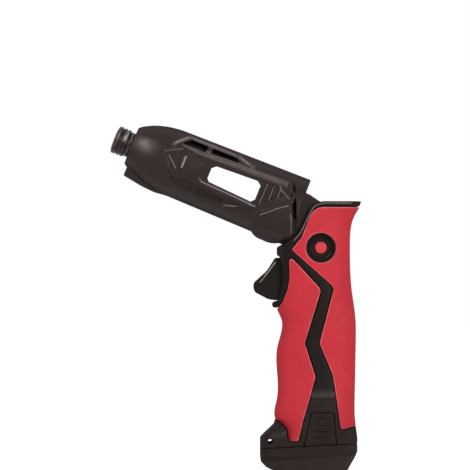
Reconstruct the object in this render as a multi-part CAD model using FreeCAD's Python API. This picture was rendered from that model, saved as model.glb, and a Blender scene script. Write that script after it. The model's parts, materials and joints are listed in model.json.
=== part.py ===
import FreeCAD, Part
import math
import os
from FreeCAD import Vector

# Folding battery screwdriver: a pistol grip with a head that swings up in line with it.
# Millimetres and degrees. The head points to -X, Z is up and the mirror plane is Y = 0.
# The origin is the centre of the flat foot, and the left side is at negative Y.
# Head pieces are built on the Z axis with the pivot at the origin, then tilted into place.

# Pivot and fold
PIVOT_X = 5.4
HEAD_TILT = 22.0
FOLD_ANGLE = 90.0 - HEAD_TILT
PIN_RADIUS = 3.0
PIN_END_COVER = 1.2
BUSH_WALL = 2.0
KNUCKLE_RADIUS = 10.5
KNUCKLE_HALF_WIDTH = 11.5

# Clearances
RUN = 0.05
SLIDE = 0.3
SWING = 0.4
PAD_GROOVE = 0.45
BACKLASH = 0.08

# Head body
HEAD_REAR = 13.2
HEAD_HEEL = 10.8
HEAD_HEEL_REACH = 16.0
HEAD_RADIUS_REAR = 21.2
HEAD_RADIUS = 20.1
DOME_BASE = 92.0
NOSE_FRONT = 120.6
NOSE_RADIUS = 11.6
NOSE_SOLID = 8.2
HEAD_WALL = 2.2
HUMP_RADIUS = 14.3
HUMP_DROP = 9.0
HUMP_ALONG = 24.5
HUMP_HALF_WIDTH = 14.0
HUMP_ROUND = 5.0
THROAT_RADIUS = 9.7
THROAT_DROP = 13.5
THROAT_ALONG = 28.5
CREASE_X = 5.7
CREASE_Z = 20.3
CREASE_SLOPE = 24.6
CREASE_DEPTH = 0.9
CREASE_REACH = 3.2
LEAD_WAY_X = -6.5

# Side panel of the head, along the axis and across it
PANEL_SHIFT = 2.3
PANEL_FLOOR = 19.1
PANEL_DEPTH = 4.0
LABEL_THICKNESS = 0.6
RIDGE_HEIGHT = 0.8
PLATE_HEIGHT = 0.6
LOUVRE_DEPTH = 0.9
RIB_PITCH = 4.1
RIB_FIRST = 28.0
RIB_COUNT = 3
RIB_WIDTH = 1.5

# Lamp under the nose
LAMP_SETBACK = 2.2
LAMP_DROP = 18.4
LAMP_HALF_WIDTH = 6.5
LENS_RADIUS = 2.4
LENS_DROP = 14.6
LENS_LENGTH = 3.0
LAMP_BOARD = 1.6
LAMP_SWELL = 0.8
LAMP_NOSE_LENGTH = 12.0
LAMP_NOSE_TAPER = 1.9
LAMP_ROUND = 2.0

# Motor
MOTOR_RADIUS = 13.8
MOTOR_WALL = 1.2
MOTOR_REAR = 27.0
MOTOR_LENGTH = 35.0
MOTOR_RIB_INSET = 8.0
END_CAP_LENGTH = 4.0
SHAFT_RADIUS = 1.15
MAGNET_THICKNESS = 2.0
AIR_GAP = 0.5
ARMATURE_LENGTH = 19.0
COMMUTATOR_RADIUS = 4.0
COMMUTATOR_LENGTH = 5.0
ARMATURE_SLOTS = 5
SLOT_WIDTH = 2.0
MOTOR_PLATE = 2.8

# Gear train, two equal planetary stages
MODULE = 0.55
PRESSURE_ANGLE = 25.0
SUN_TEETH = 12
PLANET_TEETH = 18
RING_TEETH = SUN_TEETH + 2 * PLANET_TEETH
PLANET_COUNT = 3
ADDENDUM = 0.9
DEDENDUM = 1.25
RING_RADIUS = 16.3
GEAR_WIDTH = 6.4
CARRIER_THICKNESS = 2.6
GEAR_GAP = 0.5
PLANET_PIN_RADIUS = 1.45
CARRIER_RADIUS = 11.5
GEAR_RIB_INSET = 5.0
FLANK_STEPS = 4

# Gear housing, bush and spindle
HOUSING_SHOULDER = 8.0
HOUSING_CONE = 13.0
SNOUT_RADIUS = 8.7
SNOUT_SETBACK = 1.2
SPINDLE_RADIUS = 5.0
NOSE_BUSH_WALL = 2.2
NOSE_BUSH_LENGTH = 20.0
SPINDLE_LEAD = 0.2
HEX_ACROSS_FLATS = 6.45
HEX_DEPTH = 16.0

# Chuck sleeve
SLEEVE_GAP = 0.8
SLEEVE_LENGTH = 10.2
SLEEVE_RADIUS = 8.4
SLEEVE_NECK = 7.6
SLEEVE_MOUTH = 6.4
SLEEVE_GUIDE = 3.6
SLEEVE_TRAVEL = 2.0
SLEEVE_GROOVE = 0.5
SLEEVE_NECK_LENGTH = 2.0
SLEEVE_RIDGES = 2
SLEEVE_RIDGE_PITCH = 2.3
SLEEVE_BEVEL = 0.8
CLIP_SETBACK = 1.0
CLIP_THICKNESS = 0.7
CLIP_RADIUS = 6.1
CLIP_GROOVE = 0.4
BALL_RADIUS = 1.2
SPRING_WIRE = 0.6
SPRING_GAP = 0.45

# Grip
SECTION_POWER = 3.0
SECTION_POINTS = 15
PAD_THICKNESS = 1.7
STRIPE_DROP = 0.5
RIM_RISE = 11.8
WIRE_WAY_RADIUS = 2.5

# Foot and collar
FOOT_FRONT = -29.4
FOOT_BACK = 28.7
FOOT_HALF_WIDTH = 18.5
FOOT_CORNER = 6.0
SEAM_FRONT = 13.2
SEAM_BACK = 16.2
SEAM_GAP = 0.3
COLLAR_TOP = 43.0
COLLAR_SHOULDER = 24.0
COLLAR_CROWN = 33.0
COLLAR_LEAN = 1.1
FOOT_HEIGHTS = (0.0, 2.2, 5.6, 8.4, 11.6)
FOOT_FRONT_INSETS = (7.9, 3.4, 0.3, 0.0, 0.0)
FOOT_BACK_INSETS = (5.9, 4.7, 2.8, 1.3, 0.0)
FOOT_SIDE_INSETS = (3.8, 3.0, 1.3, 0.0, 0.0)
STRAP_X = -23.5
STRAP_Z = 17.6
STRAP_RADIUS = 1.5

# Trigger and switch
TRIGGER_HALF_WIDTH = 6.8
TRIGGER_BACK = -10.5
TRIGGER_DROP = 22.1
TRIGGER_HEIGHT = 25.4
TRIGGER_TRAVEL = 4.5
TRIGGER_ROUND = 1.4
FLANGE_THICKNESS = 1.8
FLANGE_EXTRA = 1.5
FLANGE_INSET = 1.0
TRIGGER_WALL = 2.0
STEM_RADIUS = 2.4
STEM_RISE = 11.4
STEM_LENGTH = 7.5
STEM_WELL = 2.0
SWITCH_LENGTH = 21.0
SWITCH_HALF_WIDTH = 8.0
SWITCH_HEIGHT = 21.2
SWITCH_RISE = 1.2
HOLLOW_DEPTH = 8.0
NUB_RADIUS = 1.9
NUB_X = -20.3
NUB_GAP = 0.7

# Direction button
BUTTON_BACK = 1.4
BUTTON_WALL = 1.5
BUTTON_RADIUS = 3.6
BUTTON_REACH = 16.6
BUTTON_ROUND = 0.9
BEZEL_RADIUS = 8.9
BEZEL_FACE = 17.5
BEZEL_BACKING = 1.0
BEZEL_DISH = 2.6
BEZEL_STEP = 1.55
BEZEL_RIM = 0.9

# Fold detent
DETENT_RADIUS = 1.8
DETENT_LENGTH = 4.4
DETENT_NOTCH = 1.0
DETENT_SPRING_ROOM = 2.7

# Battery
CELL_RADIUS = 9.1
CELL_LENGTH = 64.5
CELL_GAP = 0.1
CASE_WALL = 1.1
CASE_CENTRE_X = 4.4
CASE_BOTTOM = 11.0
CELL_END_ROOM = 2.3
TERMINAL_HEIGHT = 1.0
LATCH_TOP = 34.5
LATCH_ROOM = 0.5
LATCH_FACE = 18.2
LATCH_TRAVEL = 1.4
LATCH_RIBS = 5
LATCH_RIB_PITCH = 3.6
LATCH_RIB_HEIGHT = 0.6
LATCH_RIB_START = 2.9
LATCH_LEFT = -3.2
LATCH_RIGHT = 16.0
LATCH_TAPER_FRONT = 4.4
LATCH_TAPER_BACK = 1.8
LATCH_CORNER = 1.0
LATCH_RIB_LEFT = 2.6
LATCH_RIB_RIGHT = 12.8
TERMINAL_SPREAD = 6.0
TERMINAL_WIDTH = 6.0

# Electronics above the battery
BAY_HALF_LENGTH = 13.8
BAY_HALF_WIDTH = 10.3
BAY_COVER = 7.7
CONTACT_BLOCK_HEIGHT = 5.0
CONTACT_DEPTH = 1.5
BOARD_THICKNESS = 1.6
BOARD_GAP = 3.0

# Fasteners
SCREW_RADIUS = 1.4
SCREW_HEAD_RADIUS = 2.7
SCREW_HEAD_DEPTH = 2.0
SCREW_LENGTH = 16.0
SCREW_SINK = 1.5
SCREW_WALL = 2.0
CROSS_LENGTH = 3.5
CROSS_WIDTH = 0.8
CROSS_DEPTH = 1.0

# Places along the head, from the pivot
DOME_SHARE = math.sqrt(1.0 - (NOSE_RADIUS / HEAD_RADIUS) ** 2)
DOME_LENGTH = (NOSE_FRONT - DOME_BASE) / DOME_SHARE
MOTOR_FRONT = MOTOR_REAR + MOTOR_LENGTH
GEARS_REAR = MOTOR_FRONT + MOTOR_PLATE
PLANET1_REAR = GEARS_REAR + GEAR_GAP
CARRIER1_REAR = PLANET1_REAR + GEAR_WIDTH + GEAR_GAP
PLANET2_REAR = CARRIER1_REAR + CARRIER_THICKNESS + GEAR_GAP
CARRIER2_REAR = PLANET2_REAR + GEAR_WIDTH + GEAR_GAP
RING_FRONT = CARRIER2_REAR - GEAR_GAP / 2.0
CARRIER2_FRONT = CARRIER2_REAR + CARRIER_THICKNESS
SNOUT_END = NOSE_FRONT - SNOUT_SETBACK
SLEEVE_REAR = NOSE_FRONT + SLEEVE_GAP
SLEEVE_FRONT = SLEEVE_REAR + SLEEVE_LENGTH
SPINDLE_FRONT = SLEEVE_FRONT + SPINDLE_LEAD
LAMP_FRONT = NOSE_FRONT - LAMP_SETBACK

# Gear and spindle sizes
HEX_CORNER = HEX_ACROSS_FLATS / math.sqrt(3.0)
SUN_PITCH = MODULE * SUN_TEETH / 2.0
PLANET_PITCH = MODULE * PLANET_TEETH / 2.0
RING_PITCH = MODULE * RING_TEETH / 2.0
PLANET_ORBIT = SUN_PITCH + PLANET_PITCH
NOSE_BUSH_RADIUS = SPINDLE_RADIUS + RUN + NOSE_BUSH_WALL

# Heights in the grip, from the foot up to the pivot
CASE_TOP = CASE_BOTTOM + CELL_LENGTH + 2.0 * CASE_WALL + CELL_END_ROOM
CONTACT_BOTTOM = CASE_TOP + TERMINAL_HEIGHT + SLIDE
BOARD_BOTTOM = CONTACT_BOTTOM + CONTACT_BLOCK_HEIGHT + BOARD_GAP
BAY_TOP = BOARD_BOTTOM + BOARD_THICKNESS + BOARD_GAP
TRIGGER_BOTTOM = BAY_TOP + BAY_COVER
TRIGGER_TOP = TRIGGER_BOTTOM + TRIGGER_HEIGHT
PIVOT_Z = TRIGGER_TOP + TRIGGER_DROP
STEM_Z = TRIGGER_BOTTOM + STEM_RISE
SWITCH_BOTTOM = TRIGGER_BOTTOM + SWITCH_RISE
SWITCH_TOP = SWITCH_BOTTOM + SWITCH_HEIGHT
NUB_Z = TRIGGER_BOTTOM - NUB_RADIUS - NUB_GAP
SLOT_RADIUS = KNUCKLE_RADIUS + SWING
BUTTON_Z = PIVOT_Z - SLOT_RADIUS - BUTTON_RADIUS - BUTTON_WALL

# Places across the grip
CELL_OFFSET = CELL_RADIUS + CELL_GAP / 2.0
CASE_RADIUS = CELL_RADIUS + CELL_GAP + CASE_WALL
BAY_RADIUS = CASE_RADIUS + SLIDE
BAY_FRONT = CASE_CENTRE_X - BAY_HALF_LENGTH
BAY_BACK = CASE_CENTRE_X + BAY_HALF_LENGTH
STEM_END = TRIGGER_BACK + STEM_LENGTH
SWITCH_FRONT = TRIGGER_BACK + TRIGGER_TRAVEL + SWING
SWITCH_BACK = SWITCH_FRONT + SWITCH_LENGTH
BUTTON_X = PIVOT_X + BUTTON_BACK
CHEEK_INNER = KNUCKLE_HALF_WIDTH + SWING
BEZEL_SEAT = CHEEK_INNER + BEZEL_BACKING
LATCH_INNER = CASE_RADIUS + LATCH_TRAVEL + LATCH_ROOM
DETENT_TIP = PIVOT_X + KNUCKLE_RADIUS + SLIDE / 2.0
DETENT_POCKET_END = DETENT_TIP + DETENT_LENGTH + DETENT_SPRING_ROOM

# Screw places in side view
POST_RADIUS = SCREW_HEAD_RADIUS + SCREW_WALL / 2.0
MOTOR_POST = MOTOR_RADIUS + SCREW_HEAD_RADIUS
SNOUT_POST = SNOUT_RADIUS + SCREW_HEAD_RADIUS + SCREW_WALL
HEAD_SCREWS = (
    (MOTOR_POST, MOTOR_REAR + 6.0), (-MOTOR_POST, MOTOR_REAR + 18.0),
    (SNOUT_POST, NOSE_FRONT - 14.0), (-SNOUT_POST, NOSE_FRONT - 14.0),
)
GRIP_SCREWS = (
    (DETENT_POCKET_END - POST_RADIUS, PIVOT_Z - DETENT_RADIUS - SCREW_HEAD_RADIUS - SCREW_WALL),
    (BAY_FRONT - SCREW_RADIUS - SCREW_WALL, BAY_TOP),
    (BAY_BACK + SCREW_RADIUS + SCREW_WALL, BAY_TOP + SCREW_WALL),
)

# Rounded sections of the grip: height, front, back and half width
GRIP_SECTIONS = (
    (17.0, -20.6, 27.6, 18.0),
    (30.0, -20.1, 27.6, 17.9),
    (42.0, -19.4, 27.3, 17.2),
    (56.0, -19.0, 27.6, 16.6),
    (74.0, -18.9, 27.9, 16.5),
    (PIVOT_Z - 58.9, -16.6, 27.8, 16.7),
    (PIVOT_Z - 53.1, -19.1, 27.2, 16.8),
    (PIVOT_Z - 41.1, -19.8, 25.5, 17.1),
    (PIVOT_Z - 28.1, -19.8, 24.6, 17.4),
    (PIVOT_Z - 11.1, -19.8, 24.5, 17.9),
    (PIVOT_Z - 2.1, -19.8, 25.4, 18.1),
    (PIVOT_Z + 4.9, -19.8, 28.2, 18.2),
    (PIVOT_Z + 13.9, -19.8, 31.7, 18.3),
)
PIN_HALF_LENGTH = GRIP_SECTIONS[-3][3] - PAD_THICKNESS - PIN_END_COVER

# Directions and a reach past every face
UP = Vector(0, 0, 1)
FAR = 80.0


def box(x0, x1, y0, y1, z0, z1):
    return Part.makeBox(x1 - x0, y1 - y0, z1 - z0, Vector(x0, y0, z0))


def rod(start, end, radius):
    axis = end - start
    return Part.makeCylinder(radius, axis.Length, start, axis)


def rod_x(x0, x1, y, z, radius):
    return rod(Vector(x0, y, z), Vector(x1, y, z), radius)


def rod_y(x, z, radius, y0, y1):
    return rod(Vector(x, y0, z), Vector(x, y1, z), radius)


def rod_z(z0, z1, radius, x=0.0, y=0.0):
    return rod(Vector(x, y, z0), Vector(x, y, z1), radius)


def lathe(profile):
    """Full turn about Z of a closed outline of (radius, height) corners."""
    corners = [Vector(radius, 0, height) for radius, height in profile]
    face = Part.Face(Part.makePolygon(corners + corners[:1]))
    return face.revolve(Vector(0, 0, 0), UP, 360)


def rounded_wire(corners, radius):
    """Closed wire with each corner rounded; a corner's third value is its own radius."""
    points = [corner[0] for corner in corners]
    edges = []
    arcs = []
    for index, (point, own_radius) in enumerate(corners):
        bend = radius if own_radius is None else own_radius
        to_last = (points[index - 1] - point).normalize()
        to_next = (points[(index + 1) % len(points)] - point).normalize()
        half = to_last.getAngle(to_next) / 2.0
        reach = bend / math.tan(half)
        inward = (to_last + to_next).normalize()
        middle = point + inward * (bend / math.sin(half) - bend)
        arcs.append((point + to_last * reach, middle, point + to_next * reach))
    for index, (first, middle, last) in enumerate(arcs):
        before = arcs[index - 1][2]
        if before.distanceToPoint(first) > 1e-6:
            edges.append(Part.makeLine(before, first))
        if first.distanceToPoint(last) > 1e-6:
            edges.append(Part.Arc(first, middle, last).toShape())
    return Part.Wire(edges)


def side_wire(points, radius=0.0):
    """Closed wire in the XZ plane from (x, z) or (x, z, corner radius) points."""
    corners = []
    for point in points:
        own_radius = point[2] if len(point) > 2 else None
        corners.append((Vector(point[0], 0, point[1]), own_radius))
    return rounded_wire(corners, radius)


def plan_wire(front, back, half_width, radius, height):
    """Rounded rectangle in the XY plane at one height."""
    points = ((front, -half_width), (back, -half_width), (back, half_width), (front, half_width))
    corners = [(Vector(x, y, height), None) for x, y in points]
    return rounded_wire(corners, radius)


def side_prism(wire, y0, y1):
    face = Part.Face(wire)
    face.translate(Vector(0, y0, 0))
    return face.extrude(Vector(0, y1 - y0, 0))


def grown(wire, distance):
    return Part.Face(wire).makeOffset2D(distance).OuterWire


def mirrored(shape):
    return shape.mirror(Vector(0, 0, 0), Vector(0, 1, 0))


def helix_spring(radius, wire, length, gap):
    """Spring along Z from height 0, one tube through half-turn arcs."""
    pitch = wire + gap
    turns = max(2, int((length - wire) / pitch))
    climb = (length - wire) / turns

    def on_coil(halves):
        angle = halves * math.pi
        height = wire / 2.0 + climb * halves / 2.0
        return Vector(radius * math.cos(angle), radius * math.sin(angle), height)

    edges = []
    for half in range(2 * turns):
        points = [on_coil(half), on_coil(half + 0.5), on_coil(half + 1.0)]
        edges.append(Part.Arc(*points).toShape())
    path = Part.Wire(edges)
    section = Part.Wire(Part.makeCircle(wire / 2.0, on_coil(0), edges[0].tangentAt(edges[0].FirstParameter)))
    return path.makePipeShell([section], True, False)


# Head outline

def head_radius(height):
    """Body radius on the straight part of the head."""
    share = (height - HEAD_REAR) / (DOME_BASE - HEAD_REAR)
    return HEAD_RADIUS_REAR + (HEAD_RADIUS - HEAD_RADIUS_REAR) * share


def head_half(extra, start, end):
    """Left half of the round head, its skin moved outward by extra."""
    dome_length = DOME_LENGTH + extra
    dome_radius = HEAD_RADIUS + extra
    reach = math.acos((end - DOME_BASE) / dome_length)
    tip_radius = dome_radius * math.sin(reach)
    base = Vector(0, 0, DOME_BASE)
    ellipse = Part.Ellipse(base + UP * dome_length, base + Vector(dome_radius, 0, 0), base)
    dome = Part.ArcOfEllipse(ellipse, reach, math.pi / 2.0).toShape()
    skirt = Vector(head_radius(start) + extra, 0, start)
    edges = [
        Part.makeLine(Vector(0, 0, start), skirt),
        Part.makeLine(skirt, base + Vector(dome_radius, 0, 0)),
        dome,
        Part.makeLine(Vector(tip_radius, 0, end), Vector(0, 0, end)),
        Part.makeLine(Vector(0, 0, end), Vector(0, 0, start)),
    ]
    face = Part.Face(Part.Wire(Part.__sortEdges__(edges)))
    return face.revolve(Vector(0, 0, 0), UP, -180)


def panel_wire(points):
    """Outline on the head's side from (along, across) points of the panel."""
    return side_wire([(PANEL_SHIFT - across, along) for along, across in points])


def panel_prism(points):
    return side_prism(panel_wire(points), -FAR, -PANEL_DEPTH)


def band(path, width):
    """Outline of a strip of even width along an open path."""
    left = []
    right = []
    for index, point in enumerate(path):
        before = path[max(index - 1, 0)]
        after = path[min(index + 1, len(path) - 1)]
        first = Vector(point[0] - before[0], point[1] - before[1], 0)
        second = Vector(after[0] - point[0], after[1] - point[1], 0)
        first = second if first.Length == 0 else first
        second = first if second.Length == 0 else second
        first_side = Vector(-first.y, first.x, 0).normalize()
        second_side = Vector(-second.y, second.x, 0).normalize()
        mitre = first_side + second_side
        mitre = mitre * (width / mitre.dot(mitre))
        left.append((point[0] + mitre.x, point[1] + mitre.y))
        right.append((point[0] - mitre.x, point[1] - mitre.y))
    return left + right[::-1]


def sunk(points, depth):
    """Shallow pocket's room in the head's side."""
    return panel_prism(points).cut(head_half(-depth, HEAD_REAR, SNOUT_END))


def raised(points, height):
    """Raised area on the head's side."""
    skin = head_half(height, HEAD_REAR, SNOUT_END)
    root = head_half(-HEAD_WALL / 2.0, HEAD_REAR, SNOUT_END)
    return panel_prism(points).common(skin).cut(root)


def skin_radius(height, extra):
    if height <= DOME_BASE:
        return head_radius(height) + extra
    share = (height - DOME_BASE) / (DOME_LENGTH + extra)
    return (HEAD_RADIUS + extra) * math.sqrt(1.0 - share * share)


# Head shells

UPPER = -1
LOWER = 1
RIDGE_PATH = ((97.0, 8.4), (89.8, 15.4), (58.0, 15.2), (48.0, 12.6))
UPPER_STRIP = ((84.0, 7.4), (48.0, 9.6), (25.0, 10.2), (25.0, 12.5), (48.0, 11.7), (84.0, 9.3))
LOWER_STRIP = ((84.0, 7.4), (42.0, 9.6), (42.0, 11.4), (84.0, 9.3))
FRONT_PLATE = ((89.2, -4.4), (89.2, 4.6), (84.6, 8.3), (80.8, 8.3), (80.8, -8.1), (84.6, -8.1))
CHEVRON = ((92.4, 8.3), (102.2, 6.2), (107.0, 2.0), (107.0, -2.8), (99.0, -7.7), (95.0, -7.7), (100.4, -1.6))
RECESS = (
    (77.2, -3.3), (77.2, 4.1), (74.7, 6.5), (38.2, 8.3), (24.6, -4.6), (24.4, -9.0), (48.0, -8.6), (75.0, -6.3),
)
LABEL = (
    (69.4, 5.3), (70.9, 3.6), (70.9, -2.8), (68.4, -5.0), (42.5, -6.1), (39.9, -4.1), (39.9, 4.7), (41.9, 6.9),
)
DIAGONAL = ((37.0, 13.2), (18.6, -2.4), (19.4, -6.6), (23.4, -11.4))
WINDOW_FRONT = ((92.5, 10.3), (88.0, 14.0), (77.3, 14.0), (77.8, 10.3))
WINDOW_REAR = ((74.5, 10.9), (74.3, 14.0), (58.8, 14.1), (56.4, 12.0))
RIB_TOP_ACROSS = -8.0


def flipped(points, side):
    return [(along, across * side) for along, across in points]


def recess_edge(along):
    """Where the slanted rear edge of the recess lies at one height."""
    (top, top_across), (bottom, bottom_across) = RECESS[3], RECESS[4]
    share = (along - bottom) / (top - bottom)
    return bottom_across + (top_across - bottom_across) * share


def panel_features():
    """Ridges, strips and plates that stand up from the head's side."""
    features = [
        raised(flipped(UPPER_STRIP, UPPER), RIDGE_HEIGHT),
        raised(flipped(LOWER_STRIP, LOWER), RIDGE_HEIGHT),
        raised(FRONT_PLATE, RIDGE_HEIGHT),
        raised(CHEVRON, PLATE_HEIGHT),
        raised(band(DIAGONAL, RIB_WIDTH), PLATE_HEIGHT),
    ]
    for side in (UPPER, LOWER):
        features.append(raised(band(flipped(RIDGE_PATH, side), RIB_WIDTH), RIDGE_HEIGHT))
    return features


def panel_ribs():
    """Short bars across the rear of the recess."""
    bars = []
    for index in range(RIB_COUNT):
        along = RIB_FIRST + RIB_PITCH * index
        bar = band(((along, RIB_TOP_ACROSS), (along, recess_edge(along) + RIB_WIDTH)), RIB_WIDTH)
        prism = side_prism(panel_wire(bar), -PANEL_FLOOR - RIDGE_HEIGHT, -PANEL_FLOOR + RIDGE_HEIGHT)
        bars.append(prism)
    return bars


def neck_points():
    """Side outline of the neck between the knuckle and the head body."""
    fold = math.radians(FOLD_ANGLE)
    normal = (-math.sin(fold), -math.cos(fold))
    touch = (KNUCKLE_RADIUS * normal[0], KNUCKLE_RADIUS * normal[1])
    climb = (HEAD_HEEL - touch[1]) / -normal[0]
    corner = (touch[0] + normal[1] * climb, HEAD_HEEL)
    inside = HEAD_REAR + HEAD_WALL
    back = KNUCKLE_RADIUS + HEAD_WALL
    return (touch, corner, (corner[0], inside), (back, inside), (back, HEAD_HEEL), (KNUCKLE_RADIUS, 0.0))


def knuckle_half():
    disc = rod_y(0, 0, KNUCKLE_RADIUS, -KNUCKLE_HALF_WIDTH, 0)
    neck = side_prism(side_wire(neck_points()), -KNUCKLE_HALF_WIDTH, 0)
    return disc.fuse(neck)


def knuckle_notches():
    """Hollows on the knuckle's rim that face the detent at both ends of the fold."""
    notches = []
    for angle in (0.0, -FOLD_ANGLE):
        reach = KNUCKLE_RADIUS + DETENT_RADIUS - DETENT_NOTCH
        centre = Vector(reach * math.cos(math.radians(angle)), 0, reach * math.sin(math.radians(angle)))
        notches.append(Part.makeSphere(DETENT_RADIUS + RUN, centre))
    return notches


def head_rear_cut():
    """Everything behind the head body's rear face and its slanted heel."""
    points = (
        (FAR, -FAR), (FAR, HEAD_REAR), (PANEL_SHIFT, HEAD_REAR), (-HEAD_HEEL_REACH, HEAD_HEEL),
        (-FAR, HEAD_HEEL), (-FAR, -FAR),
    )
    return side_prism(side_wire(points), -FAR, FAR)


def hump_half():
    """Round swelling on the underside beside the pivot, drawn out toward the nose."""
    swellings = []
    for x, z, radius in ((-HUMP_DROP, HUMP_ALONG, HUMP_RADIUS), (-THROAT_DROP, THROAT_ALONG, THROAT_RADIUS)):
        disc = rod_y(x, z, radius, -HUMP_HALF_WIDTH, 0)
        rim = [edge for edge in disc.Edges if edge.BoundBox.YMax < -HUMP_HALF_WIDTH + 1e-6]
        swellings.append(disc.makeFillet(HUMP_ROUND, rim))
    return swellings[0].fuse(swellings[1])


def lamp_half():
    """Lamp housing under the nose."""
    root = HEAD_RADIUS - HEAD_WALL
    points = (
        (-root / 2.0, DOME_BASE), (-HEAD_RADIUS, DOME_BASE - LAMP_ROUND),
        (-HEAD_RADIUS - LAMP_SWELL, DOME_BASE + LAMP_NOSE_LENGTH / 2.0, LAMP_NOSE_LENGTH),
        (-LAMP_DROP - LAMP_NOSE_TAPER, LAMP_FRONT - LAMP_NOSE_LENGTH, LAMP_NOSE_LENGTH),
        (-LAMP_DROP, LAMP_FRONT, LAMP_SWELL), (-root / 2.0, LAMP_FRONT),
    )
    block = side_prism(side_wire(points), -LAMP_HALF_WIDTH, 0)
    long_edges = [edge for edge in block.Edges if lamp_rim(edge)]
    return block.makeFillet(LAMP_ROUND, long_edges)


def lamp_rim(edge):
    """Long edges under the lamp housing, on its left."""
    bounds = edge.BoundBox
    return bounds.YMax < -LAMP_HALF_WIDTH + 1e-6 and bounds.XMax < -LAMP_DROP + LAMP_SWELL / 2.0


def side_chamfer():
    """Slanted flat that narrows the head's side toward the knuckle."""
    slope = math.radians(CREASE_SLOPE)
    start = Vector(CREASE_X, -HEAD_RADIUS_REAR + CREASE_DEPTH, CREASE_Z)
    along = Vector(-math.cos(slope), 0, -math.sin(slope))
    back = Vector(math.sin(slope), 0, -math.cos(slope)) * CREASE_REACH
    depth = HEAD_RADIUS_REAR - CREASE_DEPTH - KNUCKLE_HALF_WIDTH
    corners = [start, start + back + Vector(0, depth, 0), start + back - Vector(0, FAR, 0)]
    face = Part.Face(Part.makePolygon(corners + corners[:1]))
    face.translate(along * -FAR / 2.0)
    return face.extrude(along * FAR)


def support_ribs():
    """Half rings inside the shell that hold the motor and the gearbox, and a web over the motor."""
    ribs = []
    places = (
        (MOTOR_REAR + MOTOR_RIB_INSET, MOTOR_RADIUS), (MOTOR_FRONT - MOTOR_RIB_INSET, MOTOR_RADIUS),
        (GEARS_REAR + GEAR_RIB_INSET, RING_RADIUS), (RING_FRONT - GEAR_RIB_INSET, RING_RADIUS),
    )
    for height, inner in places:
        disc = rod_z(height, height + HEAD_WALL, HEAD_RADIUS - HEAD_WALL / 2.0)
        ribs.append(disc.cut(rod_z(height, height + HEAD_WALL, inner)).common(left_side()))
    rear = MOTOR_FRONT - MOTOR_RIB_INSET
    ribs.append(box(MOTOR_RADIUS, HEAD_RADIUS - HEAD_WALL / 2.0, -HEAD_WALL / 2.0, 0, rear, MOTOR_FRONT))
    return ribs


def left_side():
    return box(-3 * FAR, 3 * FAR, -FAR, 0, -3 * FAR, 3 * FAR)


def head_cavity():
    """Room inside the shell for the motor and the gearbox, and the snout's bore."""
    floor = MOTOR_REAR - END_CAP_LENGTH
    front = NOSE_FRONT - NOSE_SOLID
    hollow = head_half(-HEAD_WALL, floor, front)
    bore = rod_z(front - 1.0, NOSE_FRONT + 1.0, SNOUT_RADIUS)
    return hollow.fuse(bore)


def lamp_bore():
    lens_rear = LAMP_FRONT - LENS_LENGTH
    lens = rod_z(lens_rear, LAMP_FRONT + 1.0, LENS_RADIUS, -LENS_DROP)
    board = box(-LENS_DROP - LENS_RADIUS, -LENS_DROP + LENS_RADIUS, -LENS_RADIUS, LENS_RADIUS,
                lens_rear - LAMP_BOARD, lens_rear)
    return lens.fuse(board)


def screw_boss(x, z):
    """Post inside a head shell for a screw."""
    return rod_y(x, z, SCREW_HEAD_RADIUS, -FAR / 2.0, 0).common(head_half(-HEAD_WALL / 2.0, HEAD_REAR, SNOUT_END))


def make_head_shell():
    """Left shell with all that both shells share."""
    body = head_half(0.0, HEAD_HEEL, NOSE_FRONT).fuse([hump_half(), lamp_half()])
    body = body.cut(head_rear_cut()).cut(side_chamfer())
    floor_cut = side_prism(panel_wire(RECESS), -FAR, -PANEL_FLOOR)
    shell = body.fuse(panel_features()).cut(floor_cut).fuse(panel_ribs())
    shell = shell.cut(head_cavity())
    bosses = [screw_boss(x, z) for x, z in HEAD_SCREWS]
    shell = shell.fuse(support_ribs() + bosses + [knuckle_half()])
    windows = [panel_prism(flipped(points, UPPER)) for points in (WINDOW_FRONT, WINDOW_REAR)]
    windows += [sunk(flipped(points, LOWER), LOUVRE_DEPTH) for points in (WINDOW_FRONT, WINDOW_REAR)]
    bush_seat = rod_y(0, 0, PIN_RADIUS + RUN + BUSH_WALL, -FAR, FAR)
    lead_way = rod_z(-KNUCKLE_RADIUS, MOTOR_REAR, WIRE_WAY_RADIUS, LEAD_WAY_X)
    gearbox = rod_z(GEARS_REAR - MOTOR_PLATE, RING_FRONT + HOUSING_SHOULDER, RING_RADIUS)
    motor = rod_z(MOTOR_REAR - END_CAP_LENGTH, MOTOR_FRONT, MOTOR_RADIUS)
    shell = shell.cut(windows + knuckle_notches() + [lead_way, bush_seat, lamp_bore(), gearbox, motor])
    return shell.common(left_side()).removeSplitter()


def screw_skin(x, z):
    """Depth of the head's skin at a screw, on the right side."""
    radius = skin_radius(z, 0.0)
    return math.sqrt(radius * radius - x * x)


def screw_seat(x, z, face_y):
    """Hole for a screw's head, open to the right."""
    return rod_y(x, z, SCREW_HEAD_RADIUS + RUN, face_y - SCREW_SINK - SCREW_HEAD_DEPTH, FAR)


def screw(x, z, face_y):
    """Cross-head screw that goes in from the right."""
    head_top = face_y - SCREW_SINK
    head_bottom = head_top - SCREW_HEAD_DEPTH
    head = rod_y(x, z, SCREW_HEAD_RADIUS, head_bottom, head_top)
    shank = rod_y(x, z, SCREW_RADIUS, head_bottom - SCREW_LENGTH, head_bottom)
    slot = CROSS_LENGTH / 2.0
    blade = CROSS_WIDTH / 2.0
    floor = head_top - CROSS_DEPTH
    cross = box(x - slot, x + slot, floor, FAR, z - blade, z + blade)
    cross = cross.fuse(box(x - blade, x + blade, floor, FAR, z - slot, z + slot))
    return head.fuse(shank).cut(cross).removeSplitter()


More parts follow.
